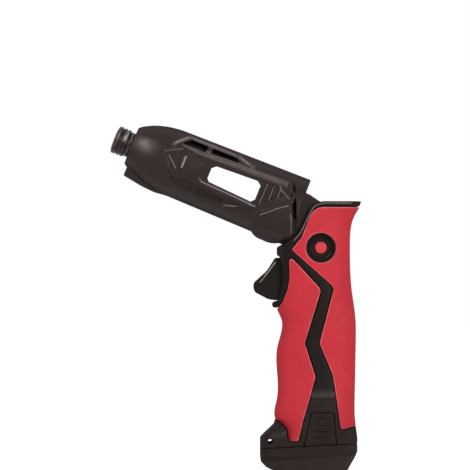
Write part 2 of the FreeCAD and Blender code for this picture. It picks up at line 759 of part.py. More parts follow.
def screw_set(places, skin_depth):
    """Holes in the right half, threaded holes in the left half, and the screws."""
    holes = []
    threads = []
    screws = []
    for x, z in places:
        face_y = skin_depth(x, z)
        tip = face_y - SCREW_SINK - SCREW_HEAD_DEPTH - SCREW_LENGTH
        holes += [screw_seat(x, z, face_y), rod_y(x, z, SCREW_RADIUS, -FAR, FAR)]
        threads.append(rod_y(x, z, SCREW_RADIUS, tip, FAR))
        screws.append(screw(x, z, face_y))
    return holes, threads, screws


# Output names and the tilt of the head

def tilted(shape):
    """Moves a head piece from the in-line pose at the origin to its rest pose."""
    placed = shape.copy()
    placed.rotate(Vector(0, 0, 0), Vector(0, 1, 0), -FOLD_ANGLE)
    placed.translate(Vector(PIVOT_X, 0, PIVOT_Z))
    return placed


PIECES = {}


def keep(name, *solids):
    """Stores one node, of one solid or a group of separate ones."""
    PIECES[name] = solids[0] if len(solids) == 1 else Part.makeCompound(list(solids))


def keep_head(name, *solids):
    keep(name, *[tilted(solid) for solid in solids])


def build_head():
    shell = make_head_shell()
    holes, threads, screws = screw_set(HEAD_SCREWS, screw_skin)
    keep_head("head_shell_left", shell.cut(threads))
    keep_head("head_shell_right", mirrored(shell).cut(holes))
    keep_head("head_screws", *screws)
    label = side_prism(panel_wire(LABEL), -PANEL_FLOOR - LABEL_THICKNESS, -PANEL_FLOOR)
    keep_head("label_plate_left", label)
    keep_head("label_plate_right", mirrored(label))
    lens_rear = LAMP_FRONT - LENS_LENGTH
    lens = rod_z(lens_rear, LAMP_FRONT, LENS_RADIUS, -LENS_DROP)
    keep_head("led_lens", lens)
    board = box(-LENS_DROP - LENS_RADIUS, -LENS_DROP + LENS_RADIUS, -LENS_RADIUS, LENS_RADIUS,
                lens_rear - LAMP_BOARD, lens_rear)
    keep_head("led_board", board)
    bush = rod_y(0, 0, PIN_RADIUS + RUN + BUSH_WALL, -KNUCKLE_HALF_WIDTH, -KNUCKLE_HALF_WIDTH / 2.0)
    bush = bush.cut(rod_y(0, 0, PIN_RADIUS + RUN, -FAR, FAR))
    keep_head("pivot_bushes", bush, mirrored(bush))


# Motor and gears, on the head's axis

def gear_points(teeth, tip, root, widening):
    """Closed flat-faced involute outline, its teeth widened at the pitch circle."""
    pitch = MODULE * teeth / 2.0
    pressure = math.radians(PRESSURE_ANGLE)
    base = pitch * math.cos(pressure)
    half_tooth = math.pi / (2.0 * teeth) + widening / (2.0 * pitch)
    lowest = max(base, root)
    radii = [lowest + (tip - lowest) * step / FLANK_STEPS for step in range(FLANK_STEPS + 1)]

    def half_angle(radius):
        slope = math.acos(min(1.0, base / radius))
        return half_tooth + math.tan(pressure) - pressure - math.tan(slope) + slope

    flank = [(radius, half_angle(radius)) for radius in radii]
    if root < lowest:
        flank.insert(0, (root, flank[0][1]))
    points = []
    for tooth in range(teeth):
        middle = 2.0 * math.pi * tooth / teeth
        points += [(radius, middle - angle) for radius, angle in flank]
        points += [(radius, middle + angle) for radius, angle in reversed(flank)]
    return points


def gear_prism(points, rear, width, turn):
    """Solid of a gear outline turned by an angle in radians."""
    corners = [Vector(radius * math.cos(angle + turn), radius * math.sin(angle + turn), rear)
               for radius, angle in points]
    face = Part.Face(Part.makePolygon(corners + corners[:1]))
    return face.extrude(UP * width)


def outer_gear(teeth, rear, width, turn):
    pitch = MODULE * teeth / 2.0
    points = gear_points(teeth, pitch + ADDENDUM * MODULE, pitch - DEDENDUM * MODULE, -BACKLASH)
    return gear_prism(points, rear, width, turn)


def ring_hole(rear, width):
    points = gear_points(RING_TEETH, RING_PITCH + DEDENDUM * MODULE, RING_PITCH - ADDENDUM * MODULE, BACKLASH)
    half_pitch = math.pi / RING_TEETH
    return gear_prism(points, rear, width, half_pitch)


def planet_places():
    angles = [2.0 * math.pi * index / PLANET_COUNT for index in range(PLANET_COUNT)]
    return [(angle, PLANET_ORBIT * math.cos(angle), PLANET_ORBIT * math.sin(angle)) for angle in angles]


def planet(rear, angle, x, y):
    """Planet with a gap toward the sun's tooth, on its pin."""
    turn = angle + math.pi + math.pi / PLANET_TEETH
    gear = outer_gear(PLANET_TEETH, rear, GEAR_WIDTH, turn)
    gear = gear.cut(rod_z(rear - 1.0, rear + GEAR_WIDTH + 1.0, PLANET_PIN_RADIUS + RUN))
    gear.translate(Vector(x, y, 0))
    return gear


def carrier(rear, pins_rear):
    """Disc with three pins that reach back through the planets."""
    disc = rod_z(rear, rear + CARRIER_THICKNESS, CARRIER_RADIUS)
    pins = [rod_z(pins_rear, rear, PLANET_PIN_RADIUS, x, y) for angle, x, y in planet_places()]
    return disc.fuse(pins).removeSplitter()


def build_gears():
    sun_tip = SUN_PITCH + ADDENDUM * MODULE
    plate = rod_z(MOTOR_FRONT, GEARS_REAR, RING_RADIUS)
    keep_head("motor_plate", plate.cut(rod_z(MOTOR_FRONT, GEARS_REAR, sun_tip + GEAR_GAP)))
    ring = rod_z(GEARS_REAR, RING_FRONT, RING_RADIUS)
    keep_head("ring_gear", ring.cut(ring_hole(GEARS_REAR, RING_FRONT - GEARS_REAR)))
    for index, (angle, x, y) in enumerate(planet_places()):
        keep_head("stage1_planet_%d" % (index + 1), planet(PLANET1_REAR, angle, x, y))
        keep_head("stage2_planet_%d" % (index + 1), planet(PLANET2_REAR, angle, x, y))
    keep_head("stage1_carrier", carrier(CARRIER1_REAR, PLANET1_REAR))
    sun_rear = CARRIER1_REAR + CARRIER_THICKNESS
    keep_head("stage2_sun_gear", outer_gear(SUN_TEETH, sun_rear, RING_FRONT - sun_rear, 0.0))
    pinion = outer_gear(SUN_TEETH, PLANET1_REAR, GEAR_WIDTH, 0.0)
    keep_head("motor_pinion", pinion.cut(rod_z(MOTOR_REAR, RING_FRONT, SHAFT_RADIUS)))


def armature(rear, radius):
    """Slotted iron core with its windings."""
    core = rod_z(rear, rear + ARMATURE_LENGTH, radius)
    for index in range(ARMATURE_SLOTS):
        slot = box(radius / 2.0, radius + 1.0, -SLOT_WIDTH / 2.0, SLOT_WIDTH / 2.0, rear, rear + ARMATURE_LENGTH)
        slot.rotate(Vector(0, 0, 0), UP, 360.0 * index / ARMATURE_SLOTS)
        core = core.cut(slot)
    return core.cut(rod_z(rear, rear + ARMATURE_LENGTH, SHAFT_RADIUS))


def build_motor():
    inner = MOTOR_RADIUS - MOTOR_WALL
    shaft_hole = rod_z(0, NOSE_FRONT, SHAFT_RADIUS + RUN)
    can = rod_z(MOTOR_REAR, MOTOR_FRONT, MOTOR_RADIUS)
    keep_head("motor_can", can.cut([rod_z(MOTOR_REAR, MOTOR_FRONT - MOTOR_WALL, inner), shaft_hole]))
    cap_rear = MOTOR_REAR - END_CAP_LENGTH
    keep_head("motor_end_cap", rod_z(cap_rear, MOTOR_REAR, MOTOR_RADIUS).cut(shaft_hole))
    core_rear = (MOTOR_REAR + COMMUTATOR_LENGTH + MOTOR_FRONT - ARMATURE_LENGTH) / 2.0
    bore = inner - MAGNET_THICKNESS
    tube = rod_z(core_rear, core_rear + ARMATURE_LENGTH, inner)
    tube = tube.cut(rod_z(core_rear, core_rear + ARMATURE_LENGTH, bore))
    window = box(-inner / 2.0, inner / 2.0, -inner, inner, core_rear, core_rear + ARMATURE_LENGTH)
    keep_head("motor_magnets", *tube.cut(window).Solids)
    keep_head("armature", armature(core_rear, bore - AIR_GAP))
    keep_head("motor_shaft", rod_z(cap_rear, PLANET1_REAR + GEAR_WIDTH, SHAFT_RADIUS))
    ring_rear = core_rear - COMMUTATOR_LENGTH
    ring = rod_z(ring_rear, core_rear, COMMUTATOR_RADIUS)
    keep_head("commutator", ring.cut(rod_z(ring_rear, core_rear, SHAFT_RADIUS)))


# Gear housing, spindle and chuck

def hexagon(rear, front):
    corners = [Vector(HEX_CORNER * math.cos(math.radians(60 * index)), HEX_CORNER * math.sin(math.radians(60 * index)),
                      rear) for index in range(6)]
    return Part.Face(Part.makePolygon(corners + corners[:1])).extrude(UP * (front - rear))


def build_housing():
    bush_rear = SNOUT_END - NOSE_BUSH_LENGTH
    room = CARRIER_RADIUS + GEAR_GAP
    neck = SPINDLE_RADIUS + SWING
    housing = lathe((
        (room, RING_FRONT), (RING_RADIUS, RING_FRONT), (RING_RADIUS, RING_FRONT + HOUSING_SHOULDER),
        (SNOUT_RADIUS, RING_FRONT + HOUSING_SHOULDER + HOUSING_CONE), (SNOUT_RADIUS, SNOUT_END),
        (NOSE_BUSH_RADIUS, SNOUT_END),
        (NOSE_BUSH_RADIUS, bush_rear), (neck, bush_rear), (neck, CARRIER2_FRONT + GEAR_GAP),
        (room, CARRIER2_FRONT + GEAR_GAP),
    ))
    keep_head("gear_housing", housing)
    bush = rod_z(bush_rear, SNOUT_END, NOSE_BUSH_RADIUS)
    keep_head("nose_bush", bush.cut(rod_z(bush_rear, SNOUT_END, SPINDLE_RADIUS + RUN)))


def build_spindle():
    clip_front = SPINDLE_FRONT - CLIP_SETBACK
    clip_rear = clip_front - CLIP_THICKNESS
    groove_floor = SPINDLE_RADIUS - CLIP_GROOVE
    shaft = rod_z(CARRIER2_FRONT, SPINDLE_FRONT, SPINDLE_RADIUS)
    spindle = carrier(CARRIER2_REAR, PLANET2_REAR).fuse(shaft)
    groove = rod_z(clip_rear, clip_front, SPINDLE_RADIUS + 1.0).cut(rod_z(clip_rear, clip_front, groove_floor))
    ball_z = SLEEVE_REAR + SLEEVE_GUIDE / 2.0
    ball_x = SPINDLE_RADIUS + RUN / 2.0 - BALL_RADIUS
    ball_hole = rod_x(0, SPINDLE_RADIUS + 1.0, 0, ball_z, BALL_RADIUS + RUN)
    socket = hexagon(SPINDLE_FRONT - HEX_DEPTH, SPINDLE_FRONT + 1.0)
    socket.rotate(Vector(0, 0, 0), UP, 30)
    keep_head("spindle", spindle.cut([groove, socket, ball_hole]).removeSplitter())
    keep_head("bit_ball", Part.makeSphere(BALL_RADIUS, Vector(ball_x, 0, ball_z)))
    clip = rod_z(clip_rear, clip_front, CLIP_RADIUS).cut(rod_z(clip_rear, clip_front, groove_floor))
    keep_head("chuck_clip", clip)
    seat = SLEEVE_REAR + SLEEVE_GUIDE + SLEEVE_TRAVEL + SLIDE
    spring = helix_spring((SPINDLE_RADIUS + SLEEVE_MOUTH) / 2.0, SPRING_WIRE, clip_rear - seat, SPRING_GAP)
    spring.translate(UP * seat)
    keep_head("chuck_spring", spring)


def build_sleeve():
    guide = SPINDLE_RADIUS + RUN
    profile = [(guide, SLEEVE_REAR), (SLEEVE_NECK, SLEEVE_REAR), (SLEEVE_NECK, SLEEVE_REAR + SLEEVE_NECK_LENGTH)]
    start = SLEEVE_REAR + SLEEVE_NECK_LENGTH + SLEEVE_GROOVE
    for index in range(SLEEVE_RIDGES):
        rear = start + SLEEVE_RIDGE_PITCH * index
        front = rear + SLEEVE_RIDGE_PITCH - 2.0 * SLEEVE_GROOVE
        floor = SLEEVE_RADIUS - SLEEVE_GROOVE
        profile += [(SLEEVE_RADIUS, rear), (SLEEVE_RADIUS, front), (floor, front + SLEEVE_GROOVE / 2.0)]
        profile += [(floor, front + 1.5 * SLEEVE_GROOVE)]
    profile.append((SLEEVE_RADIUS, profile[-1][1] + SLEEVE_GROOVE / 2.0))
    profile.append((SLEEVE_RADIUS, SLEEVE_FRONT - SLEEVE_BEVEL))
    profile += [(SLEEVE_MOUTH + SLEEVE_GROOVE, SLEEVE_FRONT), (SLEEVE_MOUTH, SLEEVE_FRONT)]
    profile += [(SLEEVE_MOUTH, SLEEVE_REAR + SLEEVE_GUIDE), (guide, SLEEVE_REAR + SLEEVE_GUIDE)]
    keep_head("chuck_sleeve", lathe(profile))


# Grip

def half_section(height, front, back, half_width, inset):
    """Left half of a rounded grip section, closed along the mirror plane."""
    middle = (front + back) / 2.0
    reach = (back - front) / 2.0 - inset
    depth = half_width - inset
    points = []
    for index in range(SECTION_POINTS):
        angle = math.pi * (1.0 + index / (SECTION_POINTS - 1))
        x = math.copysign(abs(math.cos(angle)) ** (2.0 / SECTION_POWER), math.cos(angle))
        y = abs(math.sin(angle)) ** (2.0 / SECTION_POWER)
        points.append(Vector(middle + reach * x, -depth * y, height))
    points[0].y = 0.0
    points[-1].y = 0.0
    curve = Part.BSplineCurve()
    curve.interpolate(Points=points, InitialTangent=Vector(0, -1, 0), FinalTangent=Vector(0, 1, 0))
    return Part.Wire([curve.toShape(), Part.makeLine(points[-1], points[0])])


def grip_half(inset):
    """Left half of the grip, its skin moved inward by inset."""
    return Part.makeLoft([half_section(*section, inset) for section in GRIP_SECTIONS], True, False)


def from_pivot(x, z, radius):
    """Side point given from the pivot, with its corner radius."""
    return (PIVOT_X + x, PIVOT_Z + z, radius)


def grip_skin(x, z):
    """Half width of the grip at one side point, on straight lines between the sections."""
    for low, high in zip(GRIP_SECTIONS, GRIP_SECTIONS[1:]):
        if low[0] <= z <= high[0]:
            share = (z - low[0]) / (high[0] - low[0])
            front, back, half_width = [a + (b - a) * share for a, b in zip(low[1:], high[1:])]
    offset = abs(x - (front + back) / 2.0) / ((back - front) / 2.0)
    return half_width * (1.0 - offset ** SECTION_POWER) ** (1.0 / SECTION_POWER)


def keep_wire():
    """Side outline of the grip: top edge, front rim, lip above the trigger and finger hollow."""
    return side_wire((
        from_pivot(FAR, RIM_RISE, 0.0), from_pivot(-2.6, RIM_RISE, 10.0), from_pivot(-11.9, -7.2, 4.0),
        from_pivot(-17.8, -11.9, 2.0), from_pivot(-24.6, -15.8, 2.0), from_pivot(-26.2, -19.4, 1.0),
        from_pivot(-22.9, SWING - TRIGGER_DROP, 0.5),
        from_pivot(-20.9, -29.6, 8.0), from_pivot(-21.7, -38.6, 8.0), from_pivot(-24.6, -47.1, 2.0),
        from_pivot(-FAR, -52.1, 0.0), (-FAR, 0), (FAR, 0),
    ))


ZONE_ROUND = 1.5
REAR_ZONE = (
    from_pivot(-2.8, 8.3, 8.5), from_pivot(-10.2, -9.9, 4.0), from_pivot(-16.1, -17.2, 1.2),
    from_pivot(9.3, -39.7, 4.0), (6.0, 76.2, 4.0), (13.8, 57.3, 12.0), (16.2, 42.9, 12.0), (18.6, 24.6),
    (28.6, 26.8), (FAR, 26.8), from_pivot(FAR, 8.3, ZONE_ROUND),
)
FRONT_ZONE = (
    from_pivot(-17.6, -22.2, 1.2), from_pivot(-17.2, -34.2, 12.0), from_pivot(-18.6, -41.4, 12.0),
    from_pivot(-21.4, -48.5, 6.0), from_pivot(-25.2, -53.9, ZONE_ROUND), from_pivot(-FAR, -53.9, 0.0),
    (-FAR, 29.8), (-18.4, 29.9), (-13.6, 25.2, 4.0), (-12.2, 17.9), (-6.6, 17.9), (-4.2, 28.5, 8.0),
    (0.0, 42.9, 12.0),
    (3.6, 56.1, 4.0), (-2.8, 76.2, 4.0), from_pivot(1.6, -40.9, 4.0), from_pivot(-12.0, -26.2, 2.5),
    from_pivot(-15.3, -22.9, 1.0),
)


def zone_prism(zone, growth):
    wire = side_wire(zone, ZONE_ROUND)
    if growth > 0.0:
        wire = grown(wire, growth)
    return side_prism(wire, -FAR, 0)


def stadium(radius, z0, z1):
    """Upright slab with round ends that holds the two cells side by side."""
    ends = [rod_z(z0, z1, radius, CASE_CENTRE_X + side * CELL_OFFSET) for side in (-1, 1)]
    middle = box(CASE_CENTRE_X - CELL_OFFSET, CASE_CENTRE_X + CELL_OFFSET, -radius, radius, z0, z1)
    return ends[0].fuse([ends[1], middle]).removeSplitter()


def slot_for_knuckle():
    """Room between the cheeks for the knuckle and the neck over the whole fold."""
    x = PIVOT_X
    z = PIVOT_Z
    back = KNUCKLE_RADIUS + HEAD_WALL + SWING
    points = ((x - FAR, z - SLOT_RADIUS), (x, z - SLOT_RADIUS), (x + SLOT_RADIUS, z), (x + back, z + HEAD_HEEL / 2.0),
              (x + back, z + FAR), (x - FAR, z + FAR))
    sweep = side_prism(side_wire(points), -CHEEK_INNER, CHEEK_INNER)
    return sweep.fuse(rod_y(x, z, SLOT_RADIUS, -CHEEK_INNER, CHEEK_INNER))


def trigger_channel():
    half = TRIGGER_HALF_WIDTH + SLIDE
    wide = half + FLANGE_EXTRA
    flange_front = TRIGGER_BACK - FLANGE_THICKNESS - SLIDE
    stem_way = box(-FAR, SWITCH_FRONT, -half, half, TRIGGER_BOTTOM - SLIDE, TRIGGER_TOP + SLIDE)
    flange_way = box(flange_front, SWITCH_FRONT, -wide, wide, TRIGGER_BOTTOM - SLIDE, TRIGGER_TOP + SLIDE)
    return stem_way.fuse(flange_way)


def switch_room():
    half = SWITCH_HALF_WIDTH
    return box(SWITCH_FRONT, SWITCH_BACK, -half, half, SWITCH_BOTTOM, SWITCH_TOP)


def electronics_bay():
    return box(BAY_FRONT, BAY_BACK, -BAY_HALF_WIDTH, BAY_HALF_WIDTH, CONTACT_BOTTOM, BAY_TOP)


def wire_ways():
    """Passages for the leads: bay to switch, and switch to the pivot slot."""
    middle = (BAY_FRONT + BAY_BACK) / 2.0
    low = rod_z(BAY_TOP - 1.0, SWITCH_BOTTOM + 1.0, WIRE_WAY_RADIUS, middle)
    high = rod_z(SWITCH_TOP - 1.0, PIVOT_Z, WIRE_WAY_RADIUS, SWITCH_FRONT + 2.0 * WIRE_WAY_RADIUS)
    return [low, high]


def detent_pocket():
    return rod_x(PIVOT_X, DETENT_POCKET_END, 0, PIVOT_Z, DETENT_RADIUS + RUN)


def seam_height(x):
    """Height of the slanted seam between the collar and the battery's foot."""
    share = (x - FOOT_FRONT) / (FOOT_BACK - FOOT_FRONT)
    return SEAM_FRONT + (SEAM_BACK - SEAM_FRONT) * share


def latch_points():
    """Side outline of a latch button, wider at the bottom."""
    return ((LATCH_LEFT, seam_height(LATCH_LEFT) + SEAM_GAP), (LATCH_RIGHT, seam_height(LATCH_RIGHT) + SEAM_GAP),
            (LATCH_RIGHT - LATCH_TAPER_BACK, LATCH_TOP), (LATCH_LEFT + LATCH_TAPER_FRONT, LATCH_TOP))


def latch_slot():
    """Opening for a latch button, open at the bottom so that the battery slides out."""
    wire = grown(side_wire(latch_points(), LATCH_CORNER), SLIDE)
    drop = box(LATCH_LEFT - SLIDE, LATCH_RIGHT + SLIDE, -FAR, -BAY_RADIUS + SLIDE, 0, SEAM_BACK + LATCH_CORNER)
    return side_prism(wire, -FAR, -BAY_RADIUS + SLIDE).fuse(drop)


def grip_hollows():
    """All that is cut out of the grip's left half."""
    hollows = [
        stadium(BAY_RADIUS, 0, CONTACT_BOTTOM), slot_for_knuckle(), trigger_channel(), switch_room(),
        electronics_bay(), detent_pocket(), latch_slot(),
        rod_y(PIVOT_X, PIVOT_Z, PIN_RADIUS, -PIN_HALF_LENGTH, PIN_HALF_LENGTH),
        rod_y(BUTTON_X, BUTTON_Z, BUTTON_RADIUS + RUN, -FAR, FAR),
        rod_y(BUTTON_X, BUTTON_Z, BEZEL_RADIUS, -FAR, -BEZEL_SEAT),
    ]
    return hollows + wire_ways()


def folded_head_room():
    """Hollow behind the lip for the heel of the head in the pistol pose."""
    return tilted(head_half(SWING, HEAD_HEEL - SWING, NOSE_FRONT))


def make_grip_shell():
    outline = side_prism(keep_wire(), -FAR, 0)
    core = grip_half(PAD_THICKNESS).common(outline)
    above_collar = box(-FAR, FAR, -FAR, 0, COLLAR_TOP, 3 * FAR)
    skin = grip_half(STRIPE_DROP).common(outline).common(above_collar)
    skin = skin.cut([zone_prism(REAR_ZONE, PAD_GROOVE), zone_prism(FRONT_ZONE, PAD_GROOVE)])
    nub = rod_y(NUB_X, NUB_Z, NUB_RADIUS, -TRIGGER_HALF_WIDTH, 0)
    return core.fuse([skin, nub]).cut(grip_hollows() + [folded_head_room()]).removeSplitter()


def make_pad(zone):
    """Soft pad in one zone of the left side, laid on the shell's core."""
    slab = grip_half(0.0).common(side_prism(keep_wire(), -FAR, 0)).common(zone_prism(zone, 0.0))
    slab = slab.cut(grip_half(PAD_THICKNESS))
    return slab.cut(rod_y(BUTTON_X, BUTTON_Z, BEZEL_RADIUS, -FAR, 0)).removeSplitter()


def below_seam(lift):
    """Everything under the slanted seam between the collar and the battery's foot."""
    points = ((-FAR, -FAR), (FAR, -FAR), (FAR, seam_height(FAR) + lift), (-FAR, seam_height(-FAR) + lift))
    return side_prism(side_wire(points), -FAR, FAR)


def collar_block():
    """Flared black base under the grip, with the toe at the front."""
    shoulder = COLLAR_SHOULDER
    low = Part.Face(plan_wire(FOOT_FRONT, FOOT_BACK, FOOT_HALF_WIDTH, FOOT_CORNER, 0)).extrude(UP * shoulder)
    high = Part.makeLoft([
        plan_wire(FOOT_FRONT, FOOT_BACK, FOOT_HALF_WIDTH, FOOT_CORNER, shoulder),
        plan_wire(FOOT_FRONT, FOOT_BACK, FOOT_HALF_WIDTH - COLLAR_LEAN, FOOT_CORNER, COLLAR_CROWN),
    ], True, True)
    profile = side_wire((
        (FOOT_FRONT, -1.0), (FOOT_FRONT, 19.2, 2.0), (-21.0, 27.0, 2.5), (-19.4, 36.0), (26.0, 36.0),
        (27.6, 27.0, 4.0), (FOOT_BACK, 19.5, 3.0), (FOOT_BACK, -1.0),
    ))
    return low.fuse(high).common(side_prism(profile, -FAR, FAR))


def make_collar():
    lobes = grip_half(0.0).common(box(-FAR, FAR, -FAR, 0, 0, COLLAR_TOP))
    half = collar_block().common(left_side()).fuse(lobes)
    half = half.cut([zone_prism(REAR_ZONE, PAD_GROOVE), zone_prism(FRONT_ZONE, PAD_GROOVE)])
    half = half.cut([grip_half(PAD_THICKNESS), below_seam(SEAM_GAP)])
    half = half.cut([stadium(BAY_RADIUS, 0, CASE_TOP), latch_slot()])
    collar = half.fuse(mirrored(half)).removeSplitter()
    return collar.cut(rod_y(STRAP_X, STRAP_Z, STRAP_RADIUS, -FAR, FAR))


def make_bezel():
    """Dished ring round the direction button, on the left."""
    hole = BUTTON_RADIUS + RUN
    floor = BEZEL_FACE - BEZEL_DISH
    rim = BEZEL_RADIUS - BEZEL_RIM
    ring = lathe((
        (hole, BEZEL_SEAT), (BEZEL_RADIUS, BEZEL_SEAT), (BEZEL_RADIUS, BEZEL_FACE - BEZEL_RIM / 2.0),
        (BEZEL_RADIUS - BEZEL_RIM / 2.0, BEZEL_FACE), (rim, BEZEL_FACE), (rim - BEZEL_RIM, BEZEL_FACE - BEZEL_STEP),
        (rim - BEZEL_DISH, floor), (hole, floor),
    ))
    ring.rotate(Vector(0, 0, 0), Vector(1, 0, 0), 90)
    ring.translate(Vector(BUTTON_X, 0, BUTTON_Z))
    return ring


def build_grip():
    shell = make_grip_shell()
    holes, threads, screws = screw_set(GRIP_SCREWS, grip_skin)
    keep("grip_shell_left", shell.cut(threads))
    keep("grip_shell_right", mirrored(shell).cut(holes))
    keep("grip_screws", *screws)
    for name, zone in (("rear_pad", REAR_ZONE), ("front_pad", FRONT_ZONE)):
        pad = make_pad(zone)
        keep(name + "_left", pad)
        keep(name + "_right", mirrored(pad).cut(holes))
    keep("base_collar", make_collar())
    bezel = make_bezel()
    keep("button_bezel_left", bezel)
    keep("button_bezel_right", mirrored(bezel))
    button = rod_y(BUTTON_X, BUTTON_Z, BUTTON_RADIUS, -BUTTON_REACH, BUTTON_REACH)
    rims = [edge for edge in button.Edges if edge.BoundBox.YLength < 1e-6]
    keep("direction_button", button.makeFillet(BUTTON_ROUND, rims))
    keep("pivot_pin", rod_y(PIVOT_X, PIVOT_Z, PIN_RADIUS, -PIN_HALF_LENGTH, PIN_HALF_LENGTH))


# Trigger, switch and detent

def trigger_body():
    """Finger lever in side view, with a hooked tip."""
    wire = side_wire((
        (TRIGGER_BACK, TRIGGER_TOP), (-20.4, TRIGGER_TOP, 1.5), (-25.3, TRIGGER_TOP - 7.8, 14.0),
        (-33.7, TRIGGER_BOTTOM + 10.0, 4.0), (-32.9, TRIGGER_BOTTOM + 5.0, 3.5), (-24.5, TRIGGER_BOTTOM + 0.6, 8.0),
        (-20.0, TRIGGER_BOTTOM, 2.0), (TRIGGER_BACK, TRIGGER_BOTTOM),
    ))
    body = side_prism(wire, -TRIGGER_HALF_WIDTH, TRIGGER_HALF_WIDTH)
    rims = [edge for edge in body.Edges if trigger_rim(edge)]
    return body.makeFillet(TRIGGER_ROUND, rims)


def trigger_rim(edge):
    """Edges round the finger side, left and right."""
    bounds = edge.BoundBox
    return bounds.YLength < 1e-6 and bounds.XMin < TRIGGER_BACK - 1e-6


def build_trigger():
    inner = TRIGGER_HALF_WIDTH - TRIGGER_WALL
    hollow_front = TRIGGER_BACK - HOLLOW_DEPTH
    flange_front = TRIGGER_BACK - FLANGE_THICKNESS
    wide = TRIGGER_HALF_WIDTH + FLANGE_EXTRA
    flange = box(flange_front, TRIGGER_BACK, -wide, wide, TRIGGER_BOTTOM + FLANGE_INSET, TRIGGER_TOP - FLANGE_INSET)
    hollow = box(hollow_front, 0, -inner, inner, TRIGGER_BOTTOM + TRIGGER_WALL, TRIGGER_TOP - TRIGGER_WALL)
    stem = rod_x(hollow_front - 1.0, STEM_END, 0, STEM_Z, STEM_RADIUS)
    keep("trigger", trigger_body().fuse(flange).cut(hollow).fuse(stem).removeSplitter())
    well = rod_x(SWITCH_FRONT - 1.0, STEM_END + TRIGGER_TRAVEL + STEM_WELL, 0, STEM_Z, STEM_RADIUS + RUN)
    keep("trigger_switch", switch_room().cut(well))
    length = SWITCH_FRONT - TRIGGER_TRAVEL - hollow_front - SLIDE
    spring = helix_spring(STEM_RADIUS + RUN + SPRING_WIRE, SPRING_WIRE, length, SPRING_GAP)
    spring.rotate(Vector(0, 0, 0), Vector(0, 1, 0), -90)
    spring.translate(Vector(SWITCH_FRONT, 0, STEM_Z))
    keep("trigger_spring", spring)


def build_detent():
    tip = DETENT_TIP
    ball = Part.makeSphere(DETENT_RADIUS, Vector(tip + DETENT_RADIUS, 0, PIVOT_Z))
    stem = rod_x(tip + DETENT_RADIUS, tip + DETENT_LENGTH, 0, PIVOT_Z, DETENT_RADIUS)
    keep("detent_plunger", ball.fuse(stem).removeSplitter())
    spring = helix_spring(DETENT_RADIUS - SPRING_WIRE, SPRING_WIRE, DETENT_SPRING_ROOM, SPRING_GAP)
    spring.rotate(Vector(0, 0, 0), Vector(0, 1, 0), 90)
    spring.translate(Vector(tip + DETENT_LENGTH, 0, PIVOT_Z))
    keep("detent_spring", spring)


# Battery and electronics

def make_foot():
    """Battery's flared foot with its slanted underside edges."""
    sections = []
    for height, front, back, side in zip(FOOT_HEIGHTS, FOOT_FRONT_INSETS, FOOT_BACK_INSETS, FOOT_SIDE_INSETS):
        wire = plan_wire(FOOT_FRONT + front, FOOT_BACK - back, FOOT_HALF_WIDTH - side, FOOT_CORNER, height)
        sections.append(wire)
    sections.append(plan_wire(FOOT_FRONT, FOOT_BACK, FOOT_HALF_WIDTH, FOOT_CORNER, seam_height(FAR)))
    foot = Part.makeLoft(sections, True, True).common(below_seam(0.0))
    return foot.cut(stadium(CASE_RADIUS, CASE_BOTTOM, FAR))


def make_latch():
    """Ribbed button on the left of the battery."""
    button = side_prism(side_wire(latch_points(), LATCH_CORNER), -LATCH_FACE, -LATCH_INNER)
    ribs = []
    for index in range(LATCH_RIBS):
        z = LATCH_TOP - LATCH_RIB_START - LATCH_RIB_PITCH * index
        rib = box(LATCH_RIB_LEFT, LATCH_RIB_RIGHT, -LATCH_FACE - LATCH_RIB_HEIGHT, -LATCH_FACE + 1.0,
                  z - LATCH_RIB_HEIGHT, z + LATCH_RIB_HEIGHT)
        ribs.append(rib)
    return button.fuse(ribs).removeSplitter()


def build_battery():
    inner = CELL_RADIUS + CELL_GAP
    case = stadium(CASE_RADIUS, CASE_BOTTOM, CASE_TOP)
    keep("battery_case", case.cut(stadium(inner, CASE_BOTTOM + CASE_WALL, CASE_TOP - CASE_WALL)))
    keep("battery_foot", make_foot())
    cell_bottom = CASE_BOTTOM + CASE_WALL
    cells = [rod_z(cell_bottom, cell_bottom + CELL_LENGTH, CELL_RADIUS, CASE_CENTRE_X + side * CELL_OFFSET)
             for side in (-1, 1)]
    keep("battery_cells", *cells)
    terminals = []
    springs = []
    for side in (-1, 1):
        x = CASE_CENTRE_X + side * TERMINAL_SPREAD
        half = TERMINAL_WIDTH / 2.0
        terminals.append(box(x - half, x + half, -half, half, CASE_TOP, CASE_TOP + TERMINAL_HEIGHT))
        springs.append(box(x - half / 2.0, x + half / 2.0, -half, half, CONTACT_BOTTOM - SLIDE / 2.0,
                           CONTACT_BOTTOM + CONTACT_DEPTH))
    keep("battery_terminals", *terminals)
    keep("contact_springs", *springs)
    block_top = CONTACT_BOTTOM + CONTACT_BLOCK_HEIGHT
    block = box(BAY_FRONT, BAY_BACK, -BAY_HALF_WIDTH, BAY_HALF_WIDTH, CONTACT_BOTTOM, block_top)
    keep("contact_block", block.cut(springs))
    board = box(BAY_FRONT, BAY_BACK, -BAY_HALF_WIDTH, BAY_HALF_WIDTH, BOARD_BOTTOM, BOARD_BOTTOM + BOARD_THICKNESS)
    keep("control_board", board)
    latch = make_latch()
    keep("latch_left", latch)
    keep("latch_right", mirrored(latch))


def write_pieces():
    os.makedirs("parts", exist_ok=True)
    for name, shape in PIECES.items():
        shape.exportStep("parts/" + name + ".step")
        print(name, shape.isValid(), len(shape.Solids), round(shape.Volume, 1))


build_head()
build_gears()
build_motor()
build_housing()
build_spindle()
build_sleeve()
build_grip()
build_trigger()
build_detent()
build_battery()
write_pieces()
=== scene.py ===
import json
import math

